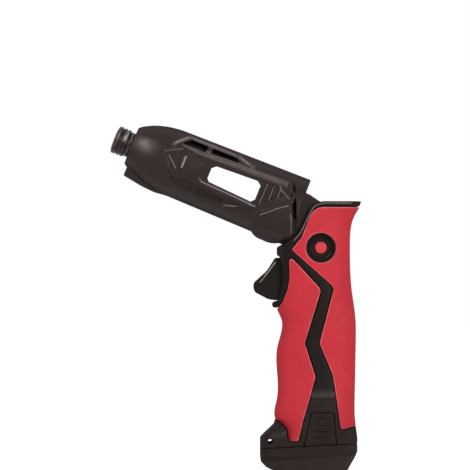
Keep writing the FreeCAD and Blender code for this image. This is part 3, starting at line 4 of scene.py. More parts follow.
import bmesh
import bpy
import numpy as np
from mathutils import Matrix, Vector


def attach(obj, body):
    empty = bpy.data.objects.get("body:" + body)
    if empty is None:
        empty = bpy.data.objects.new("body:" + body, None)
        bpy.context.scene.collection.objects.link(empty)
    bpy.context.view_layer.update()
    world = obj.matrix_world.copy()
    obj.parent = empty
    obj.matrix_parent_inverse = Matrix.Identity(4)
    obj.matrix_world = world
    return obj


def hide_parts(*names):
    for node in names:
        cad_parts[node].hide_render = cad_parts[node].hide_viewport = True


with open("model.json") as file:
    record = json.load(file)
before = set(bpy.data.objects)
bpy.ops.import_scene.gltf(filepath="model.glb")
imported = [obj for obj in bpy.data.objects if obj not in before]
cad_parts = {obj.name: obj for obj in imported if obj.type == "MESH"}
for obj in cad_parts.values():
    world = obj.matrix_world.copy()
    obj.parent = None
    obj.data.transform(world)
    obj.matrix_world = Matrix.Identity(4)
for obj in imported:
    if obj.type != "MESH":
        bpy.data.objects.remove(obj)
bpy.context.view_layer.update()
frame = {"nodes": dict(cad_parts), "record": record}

# The tool's sizes below are in millimetres, the stage's in metres
MM = 0.001
LEFT = -1
RIGHT = 1

# Camera: where it stands, how wide a field it takes in at the tool, and how far it sees
CAMERA_DISTANCE = 2.4
CAMERA_X = -44.4 * MM
CAMERA_Z = 140.7 * MM
FIELD = 282.0 * MM
SENSOR = 36.0
CAMERA_REACH = 20.0

# Floor, even light and soft boxes, each box as name, place, size and power
FLOOR_HALF = 4.0
FLOOR_COLOUR = (0.82, 0.82, 0.82, 1.0)
FLOOR_GLOW = 0.7
WHITE = (1.0, 1.0, 1.0, 1.0)
AMBIENT = 0.36
LIGHT_AIM = Vector((-0.03, 0.0, 0.11))
SOFT_BOXES = (
    ("nose_box", (-1.05, -0.77, 1.27), 0.5, 9.5),
    ("main_box", (0.83, -1.6, 0.58), 0.8, 20.0),
)

# Head: pivot, tilt and the panel's place, as in the part's source
PIVOT_X = 5.4
PIVOT_Z = 149.1
HEAD_TILT = math.radians(22.0)
PANEL_SHIFT = 2.3
PANEL_FLOOR = 19.1

# Label plate, its outline as (along the head, down across it)
LABEL = (
    (69.4, 5.3), (70.9, 3.6), (70.9, -2.8), (68.4, -5.0),
    (42.5, -6.1), (39.9, -4.1), (39.9, 4.7), (41.9, 6.9),
)
LABEL_THICKNESS = 0.6
LABEL_ROUNDING = 0.22
LABEL_ROUNDING_STEPS = 4

# Seal in the nose's mouth, behind the chuck, its outline as (radius, along the head)
SEAL = ((5.5, 120.0), (7.4, 120.0), (7.6, 120.2), (7.6, 121.0), (7.4, 121.2), (5.5, 121.2))
SEAL_STEPS = 96

# Mouldings: a solid's triangles are merged, rounded by a fine skin and softened, then thinned
MERGE = 1e-6
SOFTENING = 0.5
FACES_KEPT = 0.5
EDGE_SPREAD = 2

# Creases pressed into the palm side of the rear skins, as (x, z), and how far sideways their faces point at
# least
CREASED = ("rear_pad_left", "rear_pad_right")
PALM_LINES = (
    ((26.6, 96.2), (14.6, 86.4)),
    ((14.9, 78.0), (22.2, 58.6)),
)
CREASE_WIDTH = 0.5
CREASE_DEPTH = 0.3
CREASE_FACING = 0.15

# Head's upper strip and ridge painted paler as if lit from above, and the painted highlight on its dome, as
# (along the head, down across it), and how far sideways their faces point at least
FLANK_FACING = 0.25
UPPER_STRIP = (
    (92.5, -9.3), (81.0, -7.7), (48.0, -8.7), (25.0, -9.4), (25.0, -12.5), (48.0, -11.7), (76.0, -11.6),
)
UPPER_RIDGE = ((97.0, -8.4), (89.8, -15.4), (58.0, -15.2), (48.0, -12.6))
RIDGE_HALF_WIDTH = 1.0
TOP_FADE = 0.35
DOME_HIGHLIGHT = (112.8, -1.0)
DOME_HIGHLIGHT_SPREAD = (5.6, 4.4)
DOME_HIGHLIGHT_STRENGTH = 1.5
DOME_SHADE = ((117.7, -5.0), (103.7, -7.3))
DOME_SHADE_FADE = 1.6

# Chuck's painted highlights on its ridges as place, spread and strength, along the head and down across it
CHUCK_HIGHLIGHTS = (
    ((125.4, -2.1), (0.8, 2.6), 1.0),
    ((129.8, -0.6), (0.45, 3.6), 0.4),
    ((121.9, -2.6), (0.5, 2.6), 0.35),
)

# Painted highlights on the stripe's band and the collar's streak, and painted light on the foot's lower facets,
# as (x, z)
STRIPE_BAND_HEIGHT = 45.2
STRIPE_BAND_SPREAD = 2.2
STRIPE_BAND_STRENGTH = 1.1
COLLAR_STREAK = ((-20.9, 21.0), (-13.8, 22.8))
COLLAR_STREAK_SPREAD = 1.3
COLLAR_STREAK_STRENGTH = 1.2
FOOT_LINE = ((-25.7, 5.6), (26.2, 9.1))
FOOT_LINE_FADE = 0.8
FOOT_LOW_STRENGTH = 0.6
FOOT_LOW_END_GAIN = 1.2
FOOT_END = 23.6
FOOT_END_FADE = 4.0
FOOT_END_STRENGTH = 0.3

# Raised lines: points, width and brightness of their painted highlight; the head's as (along it, down across
# it), the others as (x, z)
HEAD_LINES = (
    (((97.2, -8.6), (89.8, -15.5)), 1.9, 0.6),
    (((89.8, -15.5), (58.3, -15.8)), 1.7, 0.45),
    (((58.3, -15.8), (50.2, -13.1)), 1.5, 0.65),
    (((87.6, 4.3), (87.6, -4.6)), 2.4, 0.62),
    (((98.1, -1.6), (89.8, 5.9)), 1.2, 0.4),
    (((101.0, -1.4), (97.4, -3.9), (90.1, -7.8)), 1.6, 0.18),
    (((77.2, 3.9), (73.4, 6.9), (36.6, 8.5), (36.7, 7.2)), 1.2, 0.52),
    (((36.3, -7.5), (36.7, 7.2)), 1.1, 0.27),
    (((32.3, -7.4), (32.1, 3.0)), 1.1, 0.27),
    (((27.9, -6.4), (28.1, -0.3)), 1.1, 0.27),
    (((34.9, 12.9), (30.5, 9.3), (24.8, 4.1), (18.8, -0.3)), 2.3, 0.45),
    (((29.7, -9.1), (27.8, -6.5), (20.2, -2.8)), 1.4, 0.33),
    (((19.7, -3.0), (18.1, 0.2), (15.9, 6.7), (11.9, 16.8)), 1.3, 0.3),
    (((56.6, 15.3), (54.8, 14.5), (50.7, 13.3), (48.2, 12.5)), 1.4, 0.45),
)
TOP_RIM = (
    (-12.0, 134.7), (-8.5, 138.2), (-5.4, 141.9), (1.0, 154.9),
    (2.4, 157.2), (4.6, 158.7), (9.0, 159.8), (28.2, 159.7),
)
GRIP_LINES = ((TOP_RIM, 1.3, 0.36),)
TRIGGER_LINES = (
    (((-19.3, 125.5), (-21.3, 123.0), (-23.5, 120.0), (-26.9, 115.5), (-30.4, 111.3)), 1.1, 0.9),
)

# How raised lines are made: where they are drawn beside the tool, their rounded corners, spacing, depth and
# crest as shares of their width, how fast they grow from the tip, and the tip's share of the width
BESIDE = 60.0
LINE_CORNER = 0.8
LINE_CORNER_STEPS = 4
LINE_STEP = 0.3
LINE_SIDES = 10
LINE_SINK = 0.41
LINE_CREST = 0.075
LINE_TAPER = 10.0
LINE_TIP = 0.25

# Point marks that the finishes read
EDGE = "edge"
PAINTED_LIGHT = "painted_light"
TONE = "tone"
WIDTH = "width"


# Nodes and colours

def add_node(tree, kind, links, **options):
    """Adds a node whose inputs are linked to a socket or set to a value, and gives its outputs."""
    made = tree.nodes.new(kind)
    for label, value in options.items():
        setattr(made, label, value)
    for socket, source in links.items():
        if isinstance(source, bpy.types.NodeSocket):
            tree.links.new(source, made.inputs[socket])
        else:
            made.inputs[socket].default_value = source
    return made.outputs


def linear(red, green, blue):
    """A colour given in 0 to 255 screen values, as light values by the standard screen curve."""
    values = []
    for level in (red, green, blue):
        share = level / 255.0
        value = share / 12.92 if share <= 0.04045 else ((share + 0.055) / 1.055) ** 2.4
        values.append(value)
    return (*values, 1.0)


def shaded(colour, factor):
    return (*[min(1.0, level * factor) for level in colour[:3]], 1.0)


# Finishes: the range in which noise, edge marks, pebbles and slant take effect, and how strongly they do

CLOUD_LIMITS = (0.3, 0.7)
STAIN_LIMITS = (0.35, 0.65)
PLASTIC_SCUFF_LIMITS = (0.3, 0.62)
LINE_SCUFF_LIMITS = (0.3, 0.65)
STEEL_SCUFF_LIMITS = (0.35, 0.6)
# Paler edges are wear and painted highlight, dark hollows are painted shade, rubber rims are a painted
# highlight
WEAR_AND_HIGHLIGHT_EDGE = (0.06, 0.3)
HOLLOW_SHADE_RANGE = (-0.12, -0.02)
HOLLOW_SHADE_SHARE = 0.9
RUBBER_RIM_HIGHLIGHT = (0.02, 0.08)
RUBBER_RIM_HIGHLIGHT_SHARE = 0.8
PEBBLE_LIMITS = (0.1, 0.7)
PEBBLE_SHADE = 0.22
OUTLINE_SLANT = (0.35, 0.75)
OUTLINE_ROUGHNESS = 0.95


class Finish:
    """A procedural material, built up node by node; sizes and depths are in millimetres.

    A Mix node takes its share at socket 0, its values at 2 and 3 and its colours at 6 and 7.
    """

    def __init__(self, name):
        self.material = bpy.data.materials.new(name)
        self.material.use_nodes = True
        self.tree = self.material.node_tree
        self.tree.nodes.clear()
        self.place = self.node("ShaderNodeTexCoord", {})["Object"]

    def node(self, kind, links, **options):
        return add_node(self.tree, kind, links, **options)

    def noise(self, size, detail=2.0):
        """Noise whose features are about as wide as the size."""
        links = {"Vector": self.place, "Scale": 1.0 / (size * MM), "Detail": detail}
        return self.node("ShaderNodeTexNoise", links)["Fac"]

    def cells(self, size):
        links = {"Vector": self.place, "Scale": 1.0 / (size * MM)}
        return self.node("ShaderNodeTexVoronoi", links)["Distance"]

    def attribute(self, label):
        return self.node("ShaderNodeAttribute", {}, attribute_name=label)["Fac"]

    def span(self, value, low, high, to_low=0.0, to_high=1.0):
        """Stretches value from low..high to to_low..to_high, held at both ends."""
        links = {"Value": value, "From Min": low, "From Max": high, "To Min": to_low, "To Max": to_high}
        return self.node("ShaderNodeMapRange", links)["Result"]

    def times(self, first, second):
        return self.node("ShaderNodeMath", {0: first, 1: second}, operation="MULTIPLY")[0]

    def mix(self, share, first, second):
        """First colour where share is 0, second where it is 1."""
        return self.node("ShaderNodeMix", {0: share, 6: first, 7: second}, data_type="RGBA")[2]

    def varied(self, low, high, size, detail=3.0, limits=CLOUD_LIMITS):
        """A value that wanders from low to high in patches."""
        return self.span(self.noise(size, detail), *limits, low, high)

    def clouded(self, dark, light, size, detail=3.0, limits=CLOUD_LIMITS):
        """Two colours that run into each other in patches."""
        return self.mix(self.varied(0.0, 1.0, size, detail, limits), dark, light)

    def dulled(self, roughness):
        """The roughness, raised where the surface turns away from view, so the outline keeps no shine."""
        slant = self.node("ShaderNodeLayerWeight", {})["Facing"]
        share = self.span(slant, *OUTLINE_SLANT)
        return self.node("ShaderNodeMix", {0: share, 2: roughness, 3: OUTLINE_ROUGHNESS})[0]

    def bump(self, height, depth, below=None):
        links = {"Strength": 1.0, "Distance": depth * MM, "Height": height}
        if below is not None:
            links["Normal"] = below
        return self.node("ShaderNodeBump", links)["Normal"]

    def finish(self, colour, roughness, normal, **values):
        """Joins the shader; values are for its other sockets."""
        links = {"Base Color": colour, "Roughness": roughness, "Normal": normal}
        links.update({label.replace("_", " "): value for label, value in values.items()})
        shader = self.node("ShaderNodeBsdfPrincipled", links)[0]
        self.node("ShaderNodeOutputMaterial", {"Surface": shader})
        return self.material


def moulded_plastic(name, colour, edge_colour, roughness, grain, depth, specular):
    """Moulded plastic: fine spark-eroded grain, cloudy tone, painted shade in hollows, edges paler from wear
    and painted highlight, and painted light where marked.
    """
    made = Finish(name)
    scuff = made.varied(low=0.55, high=1.0, size=1.6, limits=PLASTIC_SCUFF_LIMITS)
    # Edges paler from real wear and from a painted highlight
    wear_and_highlight = made.times(made.span(made.attribute(EDGE), *WEAR_AND_HIGHLIGHT_EDGE), scuff)
    # Painted light: the marked zones are painted paler as highlights and lit faces
    raised = made.times(made.attribute(PAINTED_LIGHT), made.varied(low=0.34, high=0.6, size=5.0))
    # Painted shade darkens the hollows
    hollow_shade = made.span(made.attribute(EDGE), *HOLLOW_SHADE_RANGE, to_low=HOLLOW_SHADE_SHARE, to_high=0.0)
    tone = made.clouded(shaded(colour, 0.86), shaded(colour, 1.16), size=14.0)
    tone = made.mix(raised, tone, edge_colour)
    tone = made.mix(wear_and_highlight, tone, edge_colour)
    tone = made.mix(hollow_shade, tone, shaded(colour, 0.2))
    rough = made.dulled(made.varied(roughness - 0.07, roughness + 0.07, size=3.0, detail=4.0))
    relief = made.bump(made.noise(grain), depth)
    return made.finish(tone, rough, relief, Specular_IOR_Level=specular)


def soft_rubber(name, colour, edge_colour, roughness, specular):
    """Soft-touch overmould: matt, with a fine pebbled skin and a painted highlight on its rims."""
    made = Finish(name)
    pebble = made.cells(size=0.55)
    speckle = made.span(pebble, *PEBBLE_LIMITS, to_high=PEBBLE_SHADE)
    # Painted highlight along the rubber's rims
    rim_highlight = made.span(made.attribute(EDGE), *RUBBER_RIM_HIGHLIGHT, to_high=RUBBER_RIM_HIGHLIGHT_SHARE)
    tone = made.clouded(shaded(colour, 0.93), shaded(colour, 1.06), size=24.0)
    tone = made.mix(speckle, tone, shaded(colour, 0.72))
    tone = made.mix(rim_highlight, tone, edge_colour)
    rough = made.dulled(made.varied(roughness - 0.06, roughness + 0.06, size=5.0, detail=4.0))
    relief = made.bump(made.noise(size=0.25), depth=0.01, below=made.bump(pebble, depth=-0.04))
    return made.finish(
        tone, rough, relief, Specular_IOR_Level=specular, Sheen_Weight=0.02, Sheen_Roughness=0.45,
    )


def highlight_line(name, dull_colour, bright_colour, roughness):
    """Raised lines coloured paler as a painted highlight, as bright as their tone says."""
    made = Finish(name)
    scuff = made.varied(low=0.75, high=1.0, size=1.3, limits=LINE_SCUFF_LIMITS)
    tone = made.mix(made.times(made.attribute(TONE), scuff), dull_colour, bright_colour)
    rough = made.varied(roughness - 0.06, roughness + 0.08, size=2.0)
    return made.finish(tone, rough, made.bump(made.noise(size=0.4), depth=0.01), Specular_IOR_Level=0.2)


def turned_metal(name, colour, stained_colour, roughness, highlight_colour=None):
    """Metal with stains and fine turning marks, and a painted highlight where it is marked with painted light.
    """
    made = Finish(name)
    tone = made.clouded(stained_colour, colour, size=4.0, detail=4.0, limits=STAIN_LIMITS)
    # Painted highlight where the points are marked with painted light
    if highlight_colour is not None:
        scuff = made.varied(low=0.6, high=1.0, size=2.0, limits=STEEL_SCUFF_LIMITS)
        tone = made.mix(made.times(made.attribute(PAINTED_LIGHT), scuff), tone, highlight_colour)
    marks = made.noise(size=0.35, detail=3.0)
    rough = made.span(marks, *CLOUD_LIMITS, roughness - 0.08, roughness + 0.1)
    return made.finish(tone, rough, made.bump(marks, depth=0.006), Metallic=1.0)


def plain_moulding(name, colour, roughness):
    """Small inner mouldings and wrapped parts: cloudy tone and a light grain."""
    made = Finish(name)
    tone = made.clouded(shaded(colour, 0.85), shaded(colour, 1.12), size=6.0)
    rough = made.varied(roughness - 0.08, roughness + 0.08, size=2.0)
    return made.finish(tone, rough, made.bump(made.noise(size=0.4), depth=0.012))


def printed_plate(name, colour):
    """Smooth plate with a faint orange-peel surface."""
    made = Finish(name)
    tone = made.clouded(shaded(colour, 0.965), colour, size=9.0, limits=STAIN_LIMITS)
    rough = made.varied(low=0.28, high=0.42, size=2.4)
    return made.finish(tone, rough, made.bump(made.noise(size=0.9), depth=0.01), Specular_IOR_Level=0.35)


def clear_lens(name, dull_colour, clear_colour):
    """Clear moulded lens, a little uneven."""
    made = Finish(name)
    tone = made.clouded(dull_colour, clear_colour, size=3.0, detail=2.0)
    rough = made.varied(low=0.04, high=0.12, size=1.5, detail=2.0)
    relief = made.bump(made.noise(size=0.8), depth=0.01)
    return made.finish(tone, rough, relief, Transmission_Weight=0.9, IOR=1.49)


HEAD_COLOUR = linear(44, 34, 31)
# Edge colours: paler for wear and painted highlight; the red rim and line colours are painted highlights
HEAD_WEAR_AND_HIGHLIGHT = linear(112, 100, 97)
LINE_HIGHLIGHT = linear(160, 149, 145)
BLACK = linear(25, 19, 16)
BLACK_WEAR_AND_HIGHLIGHT = linear(72, 68, 63)
FOOT_COLOUR = linear(37, 29, 26)
FOOT_WEAR_AND_HIGHLIGHT = linear(72, 64, 58)
RED = linear(194, 47, 58)
RED_RIM_HIGHLIGHT = linear(222, 122, 131)
BUTTON_RED = linear(202, 54, 64)
BUTTON_WEAR_AND_HIGHLIGHT = linear(230, 140, 146)
LABEL_WHITE = linear(246, 243, 243)
LENS_DULL = (0.9, 0.93, 0.96, 1.0)
LENS_CLEAR = (0.98, 0.99, 1.0, 1.0)
BOARD_GREEN = (0.02, 0.12, 0.05, 1.0)
STEEL = (0.62, 0.61, 0.6, 1.0)
STEEL_STAIN = (0.4, 0.39, 0.38, 1.0)
CHUCK_STEEL = (0.055, 0.04, 0.038, 1.0)
CHUCK_STAIN = (0.022, 0.016, 0.015, 1.0)
# Painted highlight colour for the chuck's ridges
CHUCK_HIGHLIGHT = (0.5, 0.45, 0.44, 1.0)
BRONZE = (0.6, 0.4, 0.18, 1.0)
BRONZE_STAIN = (0.4, 0.25, 0.1, 1.0)
FERRITE = (0.05, 0.05, 0.055, 1.0)
CELL_BLUE = (0.05, 0.16, 0.34, 1.0)

FINISHES = {
    "head_plastic": moulded_plastic(
        "head_plastic", HEAD_COLOUR, HEAD_WEAR_AND_HIGHLIGHT, roughness=0.36, grain=0.5, depth=0.01, specular=0.12,
    ),
    "black_gloss": moulded_plastic(
        "black_frame", BLACK, BLACK_WEAR_AND_HIGHLIGHT, roughness=0.4, grain=0.45, depth=0.012, specular=0.08,
    ),
    "black_matte": moulded_plastic(
        "black_foot", FOOT_COLOUR, FOOT_WEAR_AND_HIGHLIGHT, roughness=0.5, grain=0.5, depth=0.016, specular=0.07,
    ),
    "soft_red": soft_rubber("soft_red_grip", RED, RED_RIM_HIGHLIGHT, roughness=0.62, specular=0.15),
    "button_red": moulded_plastic(
        "red_button", BUTTON_RED, BUTTON_WEAR_AND_HIGHLIGHT, roughness=0.42, grain=0.4, depth=0.01, specular=0.25,
    ),
    "label_white": printed_plate("white_label", LABEL_WHITE),
    "lens_clear": clear_lens("lamp_lens", LENS_DULL, LENS_CLEAR),
    "board_green": plain_moulding("circuit_board", BOARD_GREEN, roughness=0.42),
    "steel": turned_metal("bright_steel", STEEL, STEEL_STAIN, roughness=0.3),
    "dark_steel": turned_metal("chuck_steel", CHUCK_STEEL, CHUCK_STAIN, roughness=0.32, highlight_colour=CHUCK_HIGHLIGHT),
    "bronze": turned_metal("bush_bronze", BRONZE, BRONZE_STAIN, roughness=0.34),
    "ferrite": plain_moulding("magnet_ferrite", FERRITE, roughness=0.5),
    "cell_wrap": plain_moulding("cell_wrap", CELL_BLUE, roughness=0.36),
}
# Painted highlight colour for the raised lines
LINE_FINISH = highlight_line("highlight_line", HEAD_COLOUR, LINE_HIGHLIGHT, roughness=0.36)


# Mesh helpers

def new_object(name, data):
    made = bpy.data.objects.new(name, data)
    bpy.context.scene.collection.objects.link(made)
    return made


def merged_copy(node):
    """A copy of a solid's mesh with its triangles joined."""
    mesh = frame["nodes"][node].data.copy()
    mesh.materials.clear()
    work = bmesh.new()
    work.from_mesh(mesh)
    bmesh.ops.remove_doubles(work, verts=work.verts, dist=MERGE)
    work.to_mesh(mesh)
    work.free()
    return mesh


def settle(piece):
    """Turns the piece and its modifiers into one plain mesh."""
    graph = bpy.context.evaluated_depsgraph_get()
    graph.update()
    mesh = bpy.data.meshes.new_from_object(piece.evaluated_get(graph))
    before = piece.data
    piece.modifiers.clear()
    piece.data = mesh
    bpy.data.meshes.remove(before)


def smooth_faces(mesh):
    mesh.polygons.foreach_set("use_smooth", np.ones(len(mesh.polygons), bool))


def read(mesh, label):
    """The points' places (co) or normals (normal), a row each."""
    values = np.empty(len(mesh.vertices) * 3, np.float32)
    mesh.vertices.foreach_get(label, values)
    return values.reshape(-1, 3).astype(float)


def write_marks(mesh, label, values):
    layer = mesh.attributes.new(label, "FLOAT", "POINT")
    layer.data.foreach_set("value", np.asarray(values, np.float32))


def neighbour_mean(ends, values):
    """Mean of the values at the other ends of each point's edges."""
    count = len(values)
    total = np.zeros((count, values.shape[1]))
    for axis in range(values.shape[1]):
        total[:, axis] += np.bincount(ends[:, 0], values[ends[:, 1], axis], count)
        total[:, axis] += np.bincount(ends[:, 1], values[ends[:, 0], axis], count)
    degree = np.bincount(ends.ravel(), minlength=count)
    return total / np.maximum(degree, 1)[:, None]


def mark_edges(mesh):
    """Marks how sharply the surface stands out at each point, for edges paler from wear and painted highlight
    and for painted shade in hollows.
    """
    points = read(mesh, "co")
    ends = np.empty(len(mesh.edges) * 2, np.int32)
    mesh.edges.foreach_get("vertices", ends)
    ends = ends.reshape(-1, 2)
    step = np.linalg.norm(points[ends[:, 0]] - points[ends[:, 1]], axis=1).mean()
    lean = points - neighbour_mean(ends, points)
    rise = (lean * read(mesh, "normal")).sum(axis=1)[:, None] / step
    for _ in range(EDGE_SPREAD):
        rise = 0.5 * rise + 0.5 * neighbour_mean(ends, rise)
    write_marks(mesh, EDGE, rise[:, 0])


# Places on the tool, given in millimetres; out is the distance from the mirror plane

def on_side(x, z, out):
    """A point in the shared frame."""
    return Vector((x, out, z)) * MM


def on_head(along, across, out):
    """A point along the head and down across its panel, in the shared frame."""
    rise = PANEL_SHIFT - across
    x = PIVOT_X + rise * math.sin(HEAD_TILT) - along * math.cos(HEAD_TILT)
    z = PIVOT_Z + rise * math.cos(HEAD_TILT) + along * math.sin(HEAD_TILT)
    return on_side(x, z, out)


def side_place(points):
    """Where points lie in the side view, as (x, z)."""
    return points[:, [0, 2]] / MM


def panel_place(points):
    """Where points lie along and across the head's panel."""
    x = points[:, 0] / MM - PIVOT_X
    z = points[:, 2] / MM - PIVOT_Z
    along = z * math.sin(HEAD_TILT) - x * math.cos(HEAD_TILT)
    across = PANEL_SHIFT - x * math.sin(HEAD_TILT) - z * math.cos(HEAD_TILT)
    return np.stack([along, across], axis=1)


def line_gap(flat, line):
    """Distance from each point to a line through the given points."""
    near = np.full(len(flat), np.inf)
    for start, end in zip(line[:-1], line[1:]):
        first = np.array(start)
        run = np.array(end) - first
        share = np.clip(((flat - first) @ run) / (run @ run), 0.0, 1.0)
        near = np.minimum(near, np.linalg.norm(flat - first - share[:, None] * run, axis=1))
    return near


def past_line(flat, line):
    """How far points lie past a line through two points, in the second direction."""
    (x0, z0), (x1, z1) = line
    return flat[:, 1] - z0 - (flat[:, 0] - x0) * (z1 - z0) / (x1 - x0)


def inside(flat, outline):
    """Which points lie within a closed outline."""
    within = np.zeros(len(flat), bool)
    for start, end in zip(outline, outline[1:] + outline[:1]):
        spans = (start[1] > flat[:, 1]) != (end[1] > flat[:, 1])
        rise = end[1] - start[1]
        crossing = start[0] + (flat[:, 1] - start[1]) * (end[0] - start[0]) / (rise if rise else 1.0)
        within ^= spans & (flat[:, 0] < crossing)
    return within


def held(values):
    return np.clip(values, 0.0, 1.0)


def bell(values):
    return np.exp(-(values ** 2))


def soft_spot(flat, place, spread):
    """1 at a place, fading with distance from it."""
    return np.exp(-(((flat - place) / spread) ** 2).sum(axis=1))


# Painted light zones: each gives how much painted light or painted highlight the points of a moulding get

def head_painted_light(mesh):
    """The head's upper strip and ridge painted paler as if lit from above, and the painted highlight on its
    dome.
    """
    flat = panel_place(read(mesh, "co"))
    flank = np.abs(read(mesh, "normal")[:, 1]) > FLANK_FACING
    strip = np.where(inside(flat, UPPER_STRIP), 0.0, line_gap(flat, UPPER_STRIP + UPPER_STRIP[:1]))
    ridge = line_gap(flat, UPPER_RIDGE) - RIDGE_HALF_WIDTH
    tops = held(1.0 - np.minimum(strip, ridge) / TOP_FADE)
    below_shade = held(0.5 + past_line(flat, DOME_SHADE) / DOME_SHADE_FADE)
    spot = DOME_HIGHLIGHT_STRENGTH * soft_spot(flat, DOME_HIGHLIGHT, DOME_HIGHLIGHT_SPREAD) * below_shade
    return np.maximum(tops, spot) * flank


def chuck_highlights(mesh):
    """Painted highlights on the chuck's ridges, on their outer faces."""
    points = read(mesh, "co")
    flat = panel_place(points)
    outward = (read(mesh, "normal")[:, 1] * points[:, 1]) > 0.0
    highlights = [strength * soft_spot(flat, place, spread) for place, spread, strength in CHUCK_HIGHLIGHTS]
    return np.max(highlights, axis=0) * outward


def stripe_highlight(mesh):
    """A painted highlight in a band low on the grip's stripe."""
    height = side_place(read(mesh, "co"))[:, 1]
    return STRIPE_BAND_STRENGTH * bell((height - STRIPE_BAND_HEIGHT) / STRIPE_BAND_SPREAD)


def collar_highlight(mesh):
    """A painted highlight streak where the collar's shoulder turns down to the toe."""
    gap = line_gap(side_place(read(mesh, "co")), COLLAR_STREAK)
    return COLLAR_STREAK_STRENGTH * bell(gap / COLLAR_STREAK_SPREAD)


def foot_facet_light(mesh):
    """Painted light on the foot's lower facets, lightest at its back end."""
    flat = side_place(read(mesh, "co"))
    low = held(0.5 - past_line(flat, FOOT_LINE) / FOOT_LINE_FADE)
    end = held((flat[:, 0] - FOOT_END) / FOOT_END_FADE)
    return low * (FOOT_LOW_STRENGTH + FOOT_LOW_END_GAIN * end) + FOOT_END_STRENGTH * end


PAINTED_LIGHT_ZONES = {
    "head_shell_left": head_painted_light,
    "head_shell_right": head_painted_light,
    "grip_shell_left": stripe_highlight,
    "grip_shell_right": stripe_highlight,
    "base_collar": collar_highlight,
    "battery_foot": foot_facet_light,
    "chuck_sleeve": chuck_highlights,
}


# Outer mouldings: name, solid, body, finish, voxel and rounds of softening

MOULDINGS = (
    ("head_moulding_left", "head_shell_left", "head", "head_plastic", 0.36, 2),
    ("head_moulding_right", "head_shell_right", "head", "head_plastic", 0.36, 2),
    ("grip_frame_left", "grip_shell_left", "grip", "black_gloss", 0.5, 2),
    ("grip_frame_right", "grip_shell_right", "grip", "black_gloss", 0.5, 2),
    ("rear_grip_skin_left", "rear_pad_left", "grip", "soft_red", 0.34, 5),
    ("rear_grip_skin_right", "rear_pad_right", "grip", "soft_red", 0.34, 5),
    ("front_grip_skin_left", "front_pad_left", "grip", "soft_red", 0.34, 5),
    ("front_grip_skin_right", "front_pad_right", "grip", "soft_red", 0.34, 5),
    ("grip_collar", "base_collar", "grip", "black_matte", 0.4, 3),
    ("bezel_ring_left", "button_bezel_left", "grip", "black_gloss", 0.16, 3),
    ("bezel_ring_right", "button_bezel_right", "grip", "black_gloss", 0.16, 3),
    ("trigger_lever", "trigger", "trigger", "black_gloss", 0.26, 3),
    ("direction_slider", "direction_button", "direction", "button_red", 0.18, 3),
    ("chuck_collar", "chuck_sleeve", "sleeve", "dark_steel", 0.14, 1),
    ("battery_shoe", "battery_foot", "battery", "black_matte", 0.42, 3),
    ("latch_key_left", "latch_left", "latch_l", "black_matte", 0.24, 2),
    ("latch_key_right", "latch_right", "latch_r", "black_matte", 0.24, 2),
)


def crease(mesh):
    """Presses the palm lines into the outer face as shallow grooves."""
    points = read(mesh, "co")
    normals = read(mesh, "normal")
    outward = np.sign(points[:, 1].mean())
    flat = side_place(points)
    near = np.min([line_gap(flat, line) for line in PALM_LINES], axis=0)
    press = CREASE_DEPTH * MM * bell(near / CREASE_WIDTH)
    press[normals[:, 1] * outward < CREASE_FACING] = 0.0
    pressed = points - normals * press[:, None]
    mesh.vertices.foreach_set("co", pressed.astype(np.float32).ravel())
    mesh.update()


def moulded(name, node, body, slot, voxel, soften):
    """A copy of a solid with its edges rounded as moulding leaves them."""
    piece = new_object(name, merged_copy(node))
    skin = piece.modifiers.new("skin", "REMESH")
    skin.mode = "VOXEL"
    skin.voxel_size = voxel * MM
    skin.adaptivity = 0.0
    ease = piece.modifiers.new("ease", "SMOOTH")
    ease.factor = SOFTENING
    ease.iterations = soften
    settle(piece)
    if node in CREASED:
        crease(piece.data)
    thin = piece.modifiers.new("thin", "DECIMATE")
    thin.ratio = FACES_KEPT
    settle(piece)
    smooth_faces(piece.data)
    mark_edges(piece.data)
    # Marks the zones that get painted light
    if node in PAINTED_LIGHT_ZONES:
        write_marks(piece.data, PAINTED_LIGHT, PAINTED_LIGHT_ZONES[node](piece.data))
    piece.data.materials.append(FINISHES[slot])
    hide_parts(node)
    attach(piece, body)
    return piece


PIECES = {row[0]: moulded(*row) for row in MOULDINGS}


# Label plates

def label_plate(name, node, side):
    """Bare eight-sided plate with softened corners and edges."""
    work = bmesh.new()
    back = [work.verts.new(on_head(along, across, side * PANEL_FLOOR)) for along, across in LABEL]
    top = side * (PANEL_FLOOR + LABEL_THICKNESS)
    front = [work.verts.new(on_head(along, across, top)) for along, across in LABEL]
    work.faces.new(back)
    work.faces.new(front)
    for here in range(len(LABEL)):
        there = (here + 1) % len(LABEL)
        work.faces.new((back[here], back[there], front[there], front[here]))
    bmesh.ops.recalc_face_normals(work, faces=work.faces)
    mesh = bpy.data.meshes.new(name)
    work.to_mesh(mesh)
    work.free()
    piece = new_object(name, mesh)
    rounding = piece.modifiers.new("rounding", "BEVEL")
    rounding.width = LABEL_ROUNDING * MM
    rounding.segments = LABEL_ROUNDING_STEPS
    settle(piece)
    smooth_faces(piece.data)
    piece.data.materials.append(FINISHES["label_white"])
    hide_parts(node)
    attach(piece, "head")


label_plate("label_left", "label_plate_left", LEFT)
label_plate("label_right", "label_plate_right", RIGHT)


# Seal that closes the view behind the chuck

